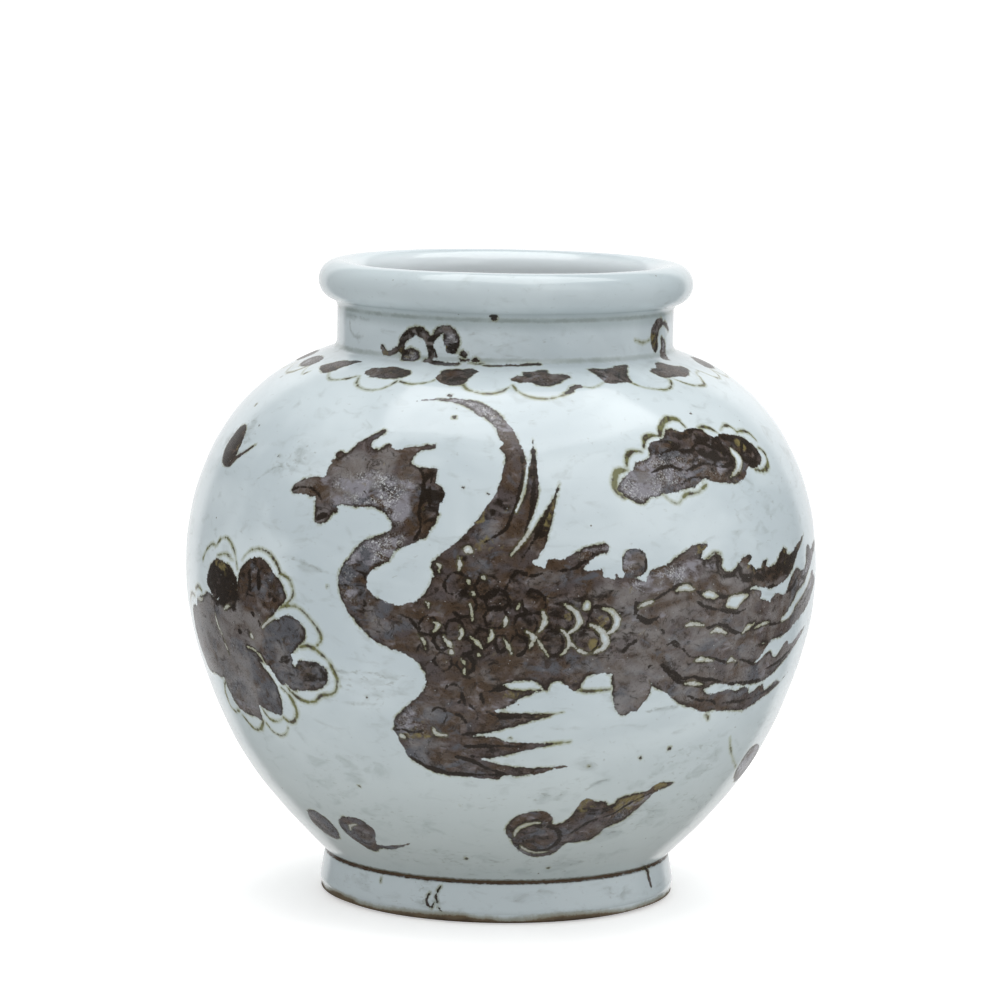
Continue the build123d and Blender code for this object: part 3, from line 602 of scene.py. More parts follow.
# Where smoke and handling have left the glaze grey
SMOKY_PATCHES = [
    (-192, 246, 18, 12, 20, 0.9), (-129, 240, 14, 9, 30, 0.7), (-104, 205, 14, 8, 40, 0.3),
    (-112, 190, 12, 4, 0, 0.5), (-68, 133, 26, 8, 0, 0.6), (-92, 82, 26, 12, 10, 0.45),
    (-71, 49, 26, 12, 0, 0.5), (87, 49, 26, 12, 15, 0.9), (108, 83, 16, 12, 40, 0.6), (131, 85, 14, 16, 0, 0.5),
    (151, 214, 20, 16, -30, 0.35), (214, 226, 26, 24, 0, 0.3), (-37, 21, 34, 8, 0, 0.8),
    (-168, 138, 10, 8, 0, 0.3), (-149, 114, 12, 5, 0, 0.5), (148, 118, 24, 6, 0, 0.5), (37, 74, 14, 6, 20, 0.7),
    (-11, 67, 14, 6, 0, 0.5), (52, 92, 10, 6, 20, 0.5), (60, 20, 30, 6, 0, 0.7), (-120, 60, 20, 14, 20, 0.4),
    (150, 50, 26, 14, -20, 0.6), (-66, -8, 8, 8, 0, 0.8), (40, -8, 14, 4, 0, 0.4), (120, -9, 14, 4, 0, 0.5),
    (-150, -8, 20, 5, 0, 0.4), (10, 10, 40, 5, 0, 0.6), (60, 262, 16, 6, 0, 0.2), (-20, 330, 40, 4, 0, 0.3),
]

# Where the glaze lies thick over the iron and makes it milky
MILKY_PATCHES = [
    (-84, 236, 26, 14, 20, 0.75), (-62, 240, 22, 8, 0, 0.5), (100, 160, 70, 40, 0, 0.62),
    (180, 152, 40, 26, 0, 0.6), (-112, 228, 14, 6, 0, 0.7), (-98, 216, 8, 6, 0, 0.7),
    (-150, 152, 22, 12, 0, 0.9), (-40, 118, 12, 7, 0, 0.4), (-40, 98, 12, 9, 0, 0.35),
    (-22, 91, 14, 5, -20, 0.3), (-42, 165, 16, 12, 0, 0.3), (-56, 168, 16, 10, 0, 0.3),
    (-66, 328, 40, 12, 0, 0.8), (186, 330, 26, 10, 0, 0.5), (70, 190, 60, 10, 0, 0.2), (76, 236, 20, 10, 0, 0.4),
    (60, 192, 14, 8, 0, 0.3), (20, 60, 20, 10, 0, 0.2),
]

# Whole shapes that differ from the rest: the kind of wash, the shape and how much
TONED = [
    ("dark", PETALS[0], 1.3), ("slate", PETALS[2], 1.1), ("slate", PETALS[3], 0.7), ("slate", PETALS[4], 1),
    ("slate", PETALS[5], 0.7), ("slate", PETALS[6], 0.7), ("slate", PETALS[8], 1), ("slate", PETALS[1], 0.4),
    ("milky", PETALS[2], 0.25), ("milky", PETALS[3], 0.5), ("milky", PETALS[4], 0.3), ("milky", PETALS[5], 0.8),
    ("milky", PETALS[6], 0.95), ("milky", LEG, 0.7), ("slate", ROUND_BLOT, 0.7),
    ("slate", SIDE_BLOT, 0.9), ("slate", CLOUD, 0.3), ("slate", COMMA, 0.5), ("dark", LEFT_DROP, 1.2),
    ("dark", COMMA, 0.4), *(("dark", blot, 0.5) for blot in SHOULDER_BLOTS),
]

# Faint grey cracks and drags in the glaze
SMOKE_STROKES = [
    (1, 2, 1, [(-118, 192), (-106, 190.5), (-95, 188), (-84, 186)]),
    (1, 2.4, 1, [(-98, 139), (-84, 137.5), (-68, 138.5), (-52, 136)]),
    (1, 2, 1, [(-96, 122), (-80, 121), (-62, 122)]),
    (1, 2.4, 1, [(78, 119), (98, 120.5), (120, 119), (140, 121)]),
    (1, 1.8, 1, [(-150, 228), (-136, 236), (-124, 234)]),
    (1, 2, 1, [(52, 74), (60, 79), (66, 80)]),
    (1, 2, 1, [(72, 52), (82, 46), (90, 48), (96, 44)]),
    (1.2, 2.4, 1, [(-196, 337), (-180, 337.6), (-166, 337), (-150, 337)]),
    (1, 1.6, 0.8, [(-188, 334), (-185, 330), (-174, 327), (-160, 328)]),
]


def linear(colour):
    """An sRGB hex value as linear light with full alpha: a share c of 255 becomes c / 12.92 where it is
    no more than 0.04045, and otherwise ((c + 0.055) / 1.055) to the power 2.4."""
    shares = [int(colour[place:place + 2], 16) / 255 for place in (1, 3, 5)]
    return (*(c / 12.92 if c <= 0.04045 else ((c + 0.055) / 1.055) ** 2.4 for c in shares), 1.0)


def spline_through(points, start, end, samples):
    """A curve through points whose slope turns evenly. Its slopes solve one linear system, with both
    end directions given, and each span is the cubic that has those slopes."""
    points = np.array(points, float)
    spans = np.hypot(*np.diff(points, axis=0).T)
    count = len(points)
    matrix, right = np.eye(count), np.zeros((count, 2))
    right[0] = np.array(start) / np.hypot(*start)
    right[-1] = np.array(end) / np.hypot(*end)
    for i in range(1, count - 1):
        before, after = spans[i - 1], spans[i]
        matrix[i, i - 1:i + 2] = after, 2 * (before + after), before
        right[i] = 3 * (before * (points[i + 1] - points[i]) / after + after * (points[i] - points[i - 1]) / before)
    slopes = np.linalg.solve(matrix, right)
    knots = np.concatenate([[0], np.cumsum(spans)])
    way = np.linspace(0, knots[-1], samples)
    span = np.clip(np.searchsorted(knots, way, side="right") - 1, 0, count - 2)
    return cubic(points, slopes, spans, span, (way - knots[span]) / spans[span])


def cubic(points, slopes, spans, span, share):
    """Points on the cubics that join points with given slopes: the two ends and the two slopes are
    weighted by the Hermite polynomials of the share of the span."""
    t, length = share[:, None], spans[span][:, None]
    ends = (1 + 2 * t) * (1 - t) ** 2 * points[span] + t * t * (3 - 2 * t) * points[span + 1]
    return ends + t * length * ((1 - t) ** 2 * slopes[span] + t * (t - 1) * slopes[span + 1])


def arc(centre, radius, first, last, samples):
    """Points on a circle from one angle to another, in equal steps."""
    angle = np.linspace(first, last, samples)
    return np.c_[centre[0] + radius * np.cos(angle), centre[1] + radius * np.sin(angle)]


def rounded(points, radii, samples=10):
    """A polyline whose inner corners are arcs that touch both sides. An arc begins before its corner by
    its radius times the tangent of half the turn, and its centre is the radius away from that place."""
    points = [np.array(point, float) for point in points]
    path = [points[0][None]]
    for before, corner, after, radius in zip(points, points[1:], points[2:], radii):
        inward = (corner - before) / np.hypot(*(corner - before))
        onward = (after - corner) / np.hypot(*(after - corner))
        turn = np.arctan2(inward[0] * onward[1] - inward[1] * onward[0], inward @ onward)
        begin = corner - inward * radius * np.tan(abs(turn) / 2)
        centre = begin + np.sign(turn) * radius * np.array([-inward[1], inward[0]])
        first = np.arctan2(*(begin - centre)[::-1])
        path.append(arc(centre, radius, first, first + turn, samples))
    return np.vstack(path + [points[-1][None]])


def skin_profile(step):
    """Radius, height and way up the wall of each row of the glaze skin, from the wiped line on the foot
    over the belly, the neck and the rim to the inside of the mouth. The way up is the length along the
    profile, counted from the groove over the foot."""
    foot = rounded(FOOT_CORNERS, FOOT_ROUNDS)
    foot = foot[foot[:, 1] > GLAZE_LINE]
    edge = np.array([[foot[0, 0] - 2 * GLAZE_THICKNESS, GLAZE_LINE - EDGE_DROP],
                     [foot[0, 0], GLAZE_LINE]])
    lower = spline_through([GROOVE, *LOWER_POINTS, BELLY], FOOT_DIRECTION, BELLY_DIRECTION, WALL_PLACES)
    upper = spline_through([BELLY, *UPPER_POINTS, SHOULDER], BELLY_DIRECTION, NECK_DIRECTION, WALL_PLACES)
    along = np.array(NECK_DIRECTION) / np.hypot(*NECK_DIRECTION)
    reach = SHOULDER_COVE * np.tan(np.arccos(along[1]) / 2)
    start = np.array(SHOULDER) - reach * along
    centre = start + SHOULDER_COVE * np.array([along[1], -along[0]])
    upper = upper[(upper - start) @ along < 0]
    cove = arc(centre, SHOULDER_COVE, np.arctan2(*(start - centre)[::-1]) % (2 * np.pi), np.pi, COVE_PLACES)
    under = SHOULDER[0] + RIM_COVE
    drop = np.sqrt((RIM_RADIUS + RIM_COVE) ** 2 - (under - RIM_CENTRE[0]) ** 2)
    cove_centre = np.array([under, RIM_CENTRE[1] - drop])
    touch = np.arctan2(drop, RIM_CENTRE[0] - under)
    rim_cove = arc(cove_centre, RIM_COVE, np.pi, touch, COVE_PLACES)
    rim = arc(RIM_CENTRE, RIM_RADIUS, touch - np.pi, np.pi, RIM_PLACES)
    inside = np.array([[RIM_CENTRE[0] - RIM_RADIUS + MOUTH_TUCK[0], RIM_CENTRE[1] - MOUTH_TUCK[1]]])
    base, wall = np.vstack([edge, foot]), np.vstack([lower, upper[1:], cove, rim_cove, rim[1:], inside])
    base_way, wall_way = path_lengths(base), path_lengths(wall)
    rows = np.arange(0, wall_way[-1], step)
    rows = np.append(rows, wall_way[-1])
    base_rows = np.unique(np.concatenate([np.arange(0, base_way[-1], step / 2), base_way]))[:-1]
    radius = np.concatenate([np.interp(base_rows, base_way, base[:, 0]), np.interp(rows, wall_way, wall[:, 0])])
    height = np.concatenate([np.interp(base_rows, base_way, base[:, 1]), np.interp(rows, wall_way, wall[:, 1])])
    return radius, height, np.concatenate([base_rows - base_way[-1], rows])


def path_lengths(path):
    """The length along a path at each of its points."""
    return np.concatenate([[0], np.cumsum(np.hypot(*np.diff(path, axis=0).T))])


def smooth_line(points, closed, pieces=4):
    """A curve through drawn points. The slope at a point runs along the chord between its neighbours, over the
    length of the two spans that meet there, and each span is a cubic."""
    points = np.array(points, float)
    around = np.vstack([points[-1], points, points[0], points[1]]) if closed else np.vstack(
        [2 * points[0] - points[1], points, 2 * points[-1] - points[-2]])
    spans = np.hypot(*np.diff(around, axis=0).T)
    slopes = np.zeros_like(around)
    slopes[1:-1] = (around[2:] - around[:-2]) / (spans[1:] + spans[:-1])[:, None]
    count = len(points) if closed else len(points) - 1
    span = np.repeat(np.arange(1, count + 1), pieces)
    share = np.tile(np.arange(pieces) / pieces, count)
    curve = cubic(around, slopes, spans, span, share)
    return curve if closed else np.vstack([curve, points[-1]])


def wave(place, height, length, start):
    """A sine wave along a way in millimetres: its height times the sine of the way over its length, plus
    its start."""
    return height * np.sin(place / length + start)


def drifted(points):
    """The same places as a second hand-painted copy has them: half a turn on, and moved a few
    millimetres by slow waves. The sway is a wave up the wall plus one round it, and the rise is a wave
    round it, lower where the belts at the foot and the shoulder would show it."""
    u, s = np.array(points, float).T
    sway = wave(s, *SWAY_BY_HEIGHT) + wave(u, *SWAY_ROUND)
    free = (s > FREE_WALL[0]) & (s < FREE_WALL[1])
    rise = wave(u, np.where(free, FREE_RISE, BELT_RISE), RISE_LENGTH, RISE_START)
    return np.c_[u + WAY_ROUND / 2 + sway, s + rise]


class Wall:
    """The unrolled wall as a grid of places, with what is painted at each."""

    def __init__(self, around, up, radius):
        self.around, self.up, self.squeeze = around, up, radius / BELLY[0]
        self.fields = {}

    def field(self, name, start):
        """A value for each place on the wall."""
        return self.fields.setdefault(name, np.full((len(self.up), len(self.around)), start, np.float32))

    def window(self, points, margin):
        """The rows and columns within a margin of some points."""
        points = np.array(points, float)
        low, high = points.min(0), points.max(0)
        squeeze = np.interp(high[1] + margin, self.up, self.squeeze)
        side = margin / max(squeeze, LEAST_SQUEEZE)
        rows = slice(*np.searchsorted(self.up, (low[1] - margin, high[1] + margin)))
        columns = slice(*np.searchsorted(self.around, (low[0] - side, high[0] + side)))
        return rows, columns

    def distance(self, starts, ends, widths, rows, columns):
        """Millimetres from each place in a window to the nearest of some straight spans, less half the
        width there. Ways round are squeezed by the wall's own radius, so that they are true lengths."""
        squeeze = self.squeeze[rows][:, None]
        x, y = self.around[columns][None], self.up[rows][:, None]
        nearest = np.full((len(y), x.shape[1]), FAR, np.float32)
        for (u0, s0), (u1, s1), (w0, w1) in zip(starts, ends, widths):
            run, rise = (u1 - u0) * squeeze, s1 - s0
            over, above = (x - u0) * squeeze, y - s0
            share = np.clip((over * run + above * rise) / (run * run + rise * rise + 1e-9), 0, 1)
            away = np.sqrt((over - share * run) ** 2 + (above - share * rise) ** 2)
            nearest = np.minimum(nearest, away - (w0 + (w1 - w0) * share) / 2)
        return nearest

    def inside_outline(self, corners):
        """Millimetres inside a closed outline, negative outside: the distance to its sides, with the
        sign from how many of them a line to the right crosses. Returns the window and the values."""
        curve = smooth_line(corners, True)
        rows, columns = self.window(curve, REACH)
        ends = np.roll(curve, -1, axis=0)
        nearest = self.distance(curve, ends, np.zeros((len(curve), 2)), rows, columns)
        x, y = self.around[columns][None], self.up[rows][:, None]
        crossed = np.zeros(nearest.shape, bool)
        for (u0, s0), (u1, s1) in zip(curve, ends):
            if s0 != s1:
                crossed ^= ((s0 > y) != (s1 > y)) & (x < u0 + (y - s0) * (u1 - u0) / (s1 - s0))
        return (rows, columns), np.where(crossed, nearest, -nearest)

    def inside_stroke(self, stroke):
        """Millimetres inside a brush stroke, whose width runs evenly from its start to its middle and on
        to its end. Returns the window and the values."""
        first, middle, last, path = stroke
        curve = smooth_line(path, False)
        share = np.linspace(0, 1, len(curve))
        width = np.interp(share, (0, 0.5, 1), (first, middle, last))
        rows, columns = self.window(curve, REACH)
        widths = np.c_[width[:-1], width[1:]]
        return (rows, columns), -self.distance(curve[:-1], curve[1:], widths, rows, columns)

    def paint(self, name, found):
        """Adds a shape to a field, which keeps the greatest distance inside any shape."""
        window, inside = found
        field = self.field(name, -REACH)
        field[window] = np.maximum(field[window], inside)

    def tone(self, name, found, amount):
        """Adds a whole shape to a field by an amount, falling off over two millimetres at its edge."""
        window, inside = found
        field = self.field(name, 0)
        field[window] = np.maximum(field[window], amount * np.clip(0.5 + inside / 2, 0, 1))

    def tint(self, name, patch):
        """Adds a soft oval patch to a field: its amount in the middle, falling as the square of the
        distance, which is counted in halves of the patch's width and height."""
        u, s, half_width, half_height, tilt, amount = patch
        reach = PATCH_REACH * max(half_width, half_height)
        rows, columns = self.window([(u - reach, s - reach), (u + reach, s + reach)], 1)
        squeeze = self.squeeze[rows][:, None]
        over, above = (self.around[columns][None] - u) * squeeze, self.up[rows][:, None] - s
        c, n = np.cos(np.radians(tilt)), np.sin(np.radians(tilt))
        far = ((over * c + above * n) / half_width) ** 2 + ((above * c - over * n) / half_height) ** 2
        field = self.field(name, 0)
        field[rows, columns] = np.maximum(field[rows, columns], amount * np.clip(PATCH_FADE - far, 0, 1))


def painted_wall(around, up, radius):
    """All that is painted on the jar, once in front and once, drifted, on the back. The middle of each
    kind of stroke is fuller than it is drawn by a factor, and wider by some millimetres."""
    wall = Wall(around, up, radius)
    for place in (np.array, drifted):
        for outline in FILLED:
            wall.paint("pigment", wall.inside_outline(place(outline)))
        for u, s, width in SPECKS:
            dot = place([(u - SPECK_HALF, s), (u + SPECK_HALF, s)])
            wall.paint("pigment", wall.inside_stroke((width, width, width, dot)))
        for outline in LEFT_BARE:
            wall.paint("bare", wall.inside_outline(place(outline)))
        for name, strokes, fuller, wider in (("pigment", DARK_STROKES, 1.0, 0.0), ("bare", BARE_STROKES, 1.15, 0.1),
                                             ("thin", THIN_STROKES, 1.1, 0.0), ("drawn", DRAWN_LINES, 1.0, 0.0)):
            for first, middle, last, path in strokes:
                wall.paint(name, wall.inside_stroke((first, fuller * middle + wider, last, place(path))))
        for first, middle, last, path in SMOKE_STROKES:
            wall.tone("smoky", wall.inside_stroke((first, middle, last, place(path))), SMOKE_AMOUNT)
        for name, outline, amount in TONED:
            wall.tone(name, wall.inside_outline(place(outline)), amount)
        for name, patches in (("pale", PALE_AND_SHEEN_PATCHES), ("dark", DARK_PATCHES), ("slate", SLATE_PATCHES),
                              ("ochre", OCHRE_PATCHES), ("smoky", SMOKY_PATCHES), ("milky", MILKY_PATCHES)):
            for u, s, *rest in patches:
                u, s = place([(u, s)])[0]
                wall.tint(name, (u, s, *rest))
    return wall.fields


def with_waves(lift, waves, turn, way):
    """A lift with waves on it: each is its height times the sine of its turns round the jar, plus the way
    up the wall over its length, plus its start."""
    for height, turns, length, start in waves:
        lift = lift + height * np.sin(turns * turn + way / length + start)
    return lift


def faded(way, fades):
    """The product of some even fades, each none where it begins and all where it is full."""
    share = 1.0
    for begins, full in fades:
        share = share * np.clip((way - begins) / (full - begins), 0, 1)
    return share


def relief(turn, way):
    """How far the glaze stands off the turned shape, in millimetres: slow waves round the jar from the
    joined bowls settling, and shallow rings from the fingers. Both fade at the foot and at the rim, and
    neither goes deeper than the coat of glaze."""
    settled = with_waves(SETTLED_LIFT, SETTLED_WAVES, turn, way)
    height, length, lean = FINE_RINGS
    rings = height * np.sin(way / length + lean * np.sin(turn) + RING_WANDER * np.sin(way / WANDER_LENGTH))
    height, length, lean = BROAD_RINGS
    rings = rings + height * np.sin(way / length + lean * np.sin(turn + BROAD_START))
    body, rim = faded(way, BODY_FADES), faded(way, RIM_FADES)
    return body * (settled + rings) + rim * with_waves(RIM_LIFT, RIM_WAVES, turn, way)


def skin_points(around, radius, height, way):
    """Places and outward directions over the whole skin, in metres. A place is the profile turned about
    the axis and moved along its normal by the relief; a direction is the cross product of the two slopes
    of that surface. Rows go up the wall and columns round it."""
    turn = around / BELLY[0]
    run, rise = np.gradient(radius), np.gradient(height)
    length = np.hypot(run, rise)
    off = relief(turn[None], way[:, None])
    r = radius[:, None] + off * (rise / length)[:, None]
    z = height[:, None] - off * (run / length)[:, None]
    places = np.stack([r * np.sin(turn), -r * np.cos(turn), z + 0 * turn], axis=-1) * MM
    round_slope = (np.roll(places, -1, axis=1) - np.roll(places, 1, axis=1))
    up_slope = np.gradient(places, axis=0)
    out = np.cross(round_slope, up_slope)
    return places, out / np.linalg.norm(out, axis=-1, keepdims=True)


def add_grid(name, places, directions, marks, unrolled):
    """A piece whose points are a grid. Neighbours are joined by four-sided faces that look outwards,
    directions are its points' normals, marks become attributes of its points, and its UV map is where
    each point lies once the piece is unrolled."""
    rows, columns = places.shape[:2]
    index = np.arange(rows * columns).reshape(rows, columns)
    faces = np.stack([index[:-1, :-1], index[:-1, 1:], index[1:, 1:], index[1:, :-1]], axis=-1)
    mesh = bpy.data.meshes.new(name)
    mesh.vertices.add(rows * columns)
    mesh.vertices.foreach_set("co", places.astype(np.float32).ravel())
    mesh.loops.add(faces.size)
    mesh.loops.foreach_set("vertex_index", faces.astype(np.int32).ravel())
    mesh.polygons.add(faces.size // 4)
    mesh.polygons.foreach_set("loop_start", np.arange(0, faces.size, 4, dtype=np.int32))
    mesh.polygons.foreach_set("use_smooth", np.ones(faces.size // 4, bool))
    mesh.update(calc_edges=True)
    for mark, values in marks.items():
        mesh.attributes.new(mark, "FLOAT", "POINT").data.foreach_set("value", values.astype(np.float32).ravel())
    layer = mesh.uv_layers.new(name="unrolled")
    layer.data.foreach_set("uv", unrolled.reshape(-1, 2)[faces.ravel()].astype(np.float32).ravel())
    if directions is not None:
        mesh.normals_split_custom_set_from_vertices(directions.reshape(-1, 3).tolist())
    mesh.validate()
    piece = bpy.data.objects.new(name, mesh)
    bpy.context.scene.collection.objects.link(piece)
    return piece


# Colours that one place in a material uses: in the pale glaze, on the wiped foot, along the painting's
# edges, in the iron, inside the jar, in the clay and in the paper
DIRT, IRON_SPOT = "#83867f", "#6e675c"
# The shade under the lip is painted shade, and the pale throat and hollow colours are painted light inside the
# mouth, where light falls on its far wall
LIP_SHADE, THROAT_PAINTED_LIGHT, HOLLOW_PAINTED_LIGHT = "#a8b4b7", "#dfe6e9", "#f8fafb"
STAINED, WIPED, TOASTED = "#8c8872", "#6f5f48", "#3f3223"
OLIVE_HALO, FULL_BRUSH, SCRAPED, RUN_OUT = "#989c7c", "#3a3022", "#9c9482", "#8c8e6c"
# The near-white speckle colour in the iron is painted sheen, and the pale dot colour is partly pinholes and partly
# painted glints
UMBER, BURNT, MILKY, CRYSTALS, SHEEN_SPECKS = "#675c57", "#332414", "#83807f", "#85838a", "#d0d4d4"
INK_RIM, PINHOLE_AND_GLINT_DOT = "#2b2016", "#c2c6c4"
INSIDE_STAIN = "#9c968a"
GRIT, TOOL_LINES = "#54432f", "#4a3a29"
PAPER, PAPER_LIGHT = "#f4f4f4", "#f8f8f8"

# Heights and radii in millimetres between which the pale glaze changes: painted shade low on the wall, the darker
# deep inside, painted light on the foot, painted shade under the lip, and painted light in the throat and the hollow
# of the mouth
LOW_SHADE_WALL, DEEP_WALL, FOOT_PAINTED_LIGHT = (150, 30), (270, 50), (24, 19)
LIP_HEIGHT, THROAT_HEIGHT, THROAT_RADIUS = (303, 312), (292, 312), (84, 78)
HOLLOW_HEIGHT, MOUTH_RADIUS = (326, 308), 82

# Heights in millimetres between which the wiped foot is stained, wiped, toasted and dry
STAINED_FOOT, WIPED_FOOT, TOASTED_FOOT, DRY_FOOT = (10.4, 7.6), (8.0, 6.8), (7.4, 5.2), (8.4, 7.4)

# The stained rings, and one band of painted shade under the rim: the height of the middle, half the width and the
# fade in millimetres, the colour, how far the ring is broken, and how much it shows
STAIN_AND_SHADE_BELTS = [
    # The wide pale grey band at 306 mm is painted shade on the rim's underside; the narrow olive line beside it is a
    # stain
    (306.6, 0.3, 1.4, "#757b69", 0.7, 0.55), (306.0, 1.0, 6.0, "#9aa7a9", 0.0, 0.55),
    (286.4, 0.3, 1.6, "#8f9a93", 0.5, 0.5), (22.5, 0.3, 1.1, "#5d5946", 0.2, 0.8),
    (21.5, 0.7, 0.5, "#54402c", 0.0, 0.95),
]

# How far on a Wave Texture with a scale of one repeats
WAVE_LENGTH = np.pi / 10

# The roughness of the wet glaze, and what dry clay and the iron's grains add to it
GLAZE_ROUGHNESS, CLAY_ROUGHER, INK_ROUGHER, GRAINS_ROUGHER = 0.13, 0.55, 0.08, 0.16


def add(tree, kind, inputs={}, **settings):
    """Adds one node to a material, with its settings. An input is linked where it is given a socket and
    is set where it is given a value. Returns the node's outputs."""
    made = tree.nodes.new("ShaderNode" + kind)
    for name, value in settings.items():
        setattr(made, name, value)
    for socket, value in inputs.items():
        if isinstance(value, bpy.types.NodeSocket):
            tree.links.new(value, made.inputs[socket])
        else:
            made.inputs[socket].default_value = value
    return made.outputs


def maths(tree, operation, *values):
    """The result of one step of arithmetic on numbers and sockets."""
    return add(tree, "Math", dict(enumerate(values)), operation=operation)[0]


def ramp(tree, value, low, high, first=0.0, last=1.0, kind="LINEAR"):
    """A share that goes from the first where a value is low to the last where it is high, and stays the
    same outside."""
    return add(tree, "MapRange", {"Value": value, "From Min": low, "From Max": high, "To Min": first,
                                  "To Max": last}, interpolation_type=kind)["Result"]


def per(millimetres):
    """The scale at which a noise on Object coordinates has features of a real size."""
    return 1 / (millimetres * MM)


def in_metres(span):
    """Both ends of a span of millimetres, in metres."""
    return span[0] * MM, span[1] * MM


def new_material(name):
    """An empty material with its tree and the place on the piece that its patterns read."""
    material = bpy.data.materials.new(name)
    material.use_nodes = True
    tree = material.node_tree
    tree.nodes.clear()
    return material, tree, add(tree, "TexCoord")["Object"]


def noise(tree, place, size, detail, roughness=0.5, distortion=0.0):
    """Noise with features of a size in millimetres, as a value about a half."""
    return add(tree, "TexNoise", {"Vector": place, "Scale": per(size), "Detail": detail,
                                  "Roughness": roughness, "Distortion": distortion})["Fac"]


def mottling(tree, place, size, detail, favour=None, by=0.0):
    """Uneven patches with features of a size in millimetres, as a value about a half. Where a mark on
    the piece favours them, the value is higher by a share of that mark."""
    uneven = noise(tree, place, size, detail, roughness=0.55, distortion=0.6)
    if favour is None:
        return uneven
    return maths(tree, "MULTIPLY_ADD", favour, by, uneven)


def laid_over(tree, under, over, field, low, high, most=1.0, within=None):
    """A colour laid over another, from none where a field is low to the most where it is high, with
    eased ends, and only as far as a second share lets it."""
    share = ramp(tree, field, low, high, last=most, kind="SMOOTHSTEP")
    if within is not None:
        share = maths(tree, "MULTIPLY", share, within)
    return add(tree, "Mix", {0: share, 6: under, 7: over}, data_type="RGBA")[2]


def ragged_edge(tree, place):
    """How far the edge of a brush mark wanders, in millimetres: the brush's own unevenness, and the
    small teeth that the iron makes where it eats into the glaze."""
    slow = noise(tree, place, 2.8, 5.0, roughness=0.66)
    teeth = noise(tree, place, 0.9, 3.0, roughness=0.6)
    both = maths(tree, "MULTIPLY_ADD", slow, 3.4, -2.5)
    return maths(tree, "MULTIPLY_ADD", teeth, 1.6, both)


def moved(tree, mark, wander, amount):
    """A mark's distance with its edge moved by an amount of the wander."""
    return maths(tree, "MULTIPLY_ADD", wander, amount, mark)


def pale_glaze(tree, place, colours, smoky=None):
    """The clear feldspar glaze over the pale body: its colour, which goes from grey to blue as it pools and is
    dirtied by smoke and fine iron specks. Painted shade darkens it low on the wall and under the lip, and painted
    light makes it paler on the foot and inside the mouth. Returns the colour, the height of the glaze's skin and the
    height over the floor."""
    height = add(tree, "SeparateXYZ", {0: place})["Z"]
    tall = add(tree, "Mapping", {"Vector": place, "Scale": (1, 1, 2.0)})[0]
    colour = laid_over(tree, colours.glaze, colours.glaze_light, mottling(tree, tall, 95, 3.0), 0.36, 0.64)
    # Painted shade: the glaze goes darker towards the bottom of the wall, from 150 mm down to 30 mm, where less
    # light reaches
    colour = laid_over(tree, colour, colours.glaze_low_shade, height, *in_metres(LOW_SHADE_WALL))
    # Painted light: the foot below the groove takes the paler glaze colour, against the shade under the belly's
    # overhang
    colour = laid_over(tree, colour, colours.glaze_light, height, *in_metres(FOOT_PAINTED_LIGHT))
    smoke = mottling(tree, tall, 13, 8.0, smoky, 0.17)
    colour = laid_over(tree, colour, colours.smoke, smoke, 0.53, 0.86, 0.66)
    dirt = mottling(tree, tall, 3.6, 5.0, smoky, 0.13)
    colour = laid_over(tree, colour, linear(DIRT), dirt, 0.63, 0.80, 0.4)
    flat = add(tree, "Mapping", {"Vector": place, "Scale": (1, 1, 0)})[0]
    radius = add(tree, "VectorMath", {0: flat}, operation="LENGTH")["Value"]
    # Painted shade under the lip, and painted light inside the mouth: the throat and its hollow are made paler,
    # nearly white, where light falls in on the far wall
    throat_light_mask = ramp(tree, height, *in_metres(THROAT_HEIGHT))
    colour = laid_over(tree, colour, linear(LIP_SHADE), height, *in_metres(LIP_HEIGHT), 0.35)
    colour = laid_over(tree, colour, linear(THROAT_PAINTED_LIGHT), radius, *in_metres(THROAT_RADIUS), 0.75, throat_light_mask)
    hollow_light_mask = maths(tree, "LESS_THAN", radius, MOUTH_RADIUS * MM)
    hollow_light_mask = maths(tree, "MULTIPLY", hollow_light_mask, throat_light_mask)
    colour = laid_over(tree, colour, linear(HOLLOW_PAINTED_LIGHT), height, *in_metres(HOLLOW_HEIGHT), 0.9, hollow_light_mask)
    cells = add(tree, "TexVoronoi", {"Vector": place, "Scale": per(11)})
    red = add(tree, "SeparateColor", {0: cells["Color"]})[0]
    few = maths(tree, "GREATER_THAN", red, 0.8)
    colour = laid_over(tree, colour, linear(IRON_SPOT), cells["Distance"], 0.055, 0.03, 1.0, few)
    pinholes = noise(tree, place, 1.6, 2.0)
    swell = noise(tree, place, 9, 2.0)
    skin = maths(tree, "MULTIPLY_ADD", pinholes, 0.12, swell)
    return colour, skin, height


def stained_and_shaded_belts(tree, colour, height, wander, pools):
    """Rings at fixed heights where the glaze broke thin over an edge, or pooled in a groove, and let the iron in the
    clay through: under the rim, at the neck and in the groove over the foot. One wide band under the rim is painted
    shade on its underside. A belt is one where the height is within half a width of its middle, and fades outside
    that."""
    uneven = maths(tree, "MULTIPLY_ADD", wander, 0.5 * MM, height)
    for middle, half, fade, belt_colour, spread, most in STAIN_AND_SHADE_BELTS:
        gap = maths(tree, "ABSOLUTE", maths(tree, "SUBTRACT", uneven, middle * MM))
        broken = maths(tree, "MULTIPLY_ADD", pools, spread, 1 - spread / 2)
        colour = laid_over(tree, colour, linear(belt_colour), gap, (half + fade) * MM, half * MM, most, broken)
    return colour


def finish(tree, colour, roughness, height, distance, ior=1.52, strength=0.35):
    """The shader and the output. The height gives a bump of a real depth in millimetres."""
    bump = add(tree, "Bump", {"Strength": strength, "Distance": distance * MM, "Height": height})
    shader = add(tree, "BsdfPrincipled", {"IOR": ior, "Base Color": colour, "Roughness": roughness,
                                          "Normal": bump["Normal"]})
    add(tree, "OutputMaterial", {"Surface": shader[0]})


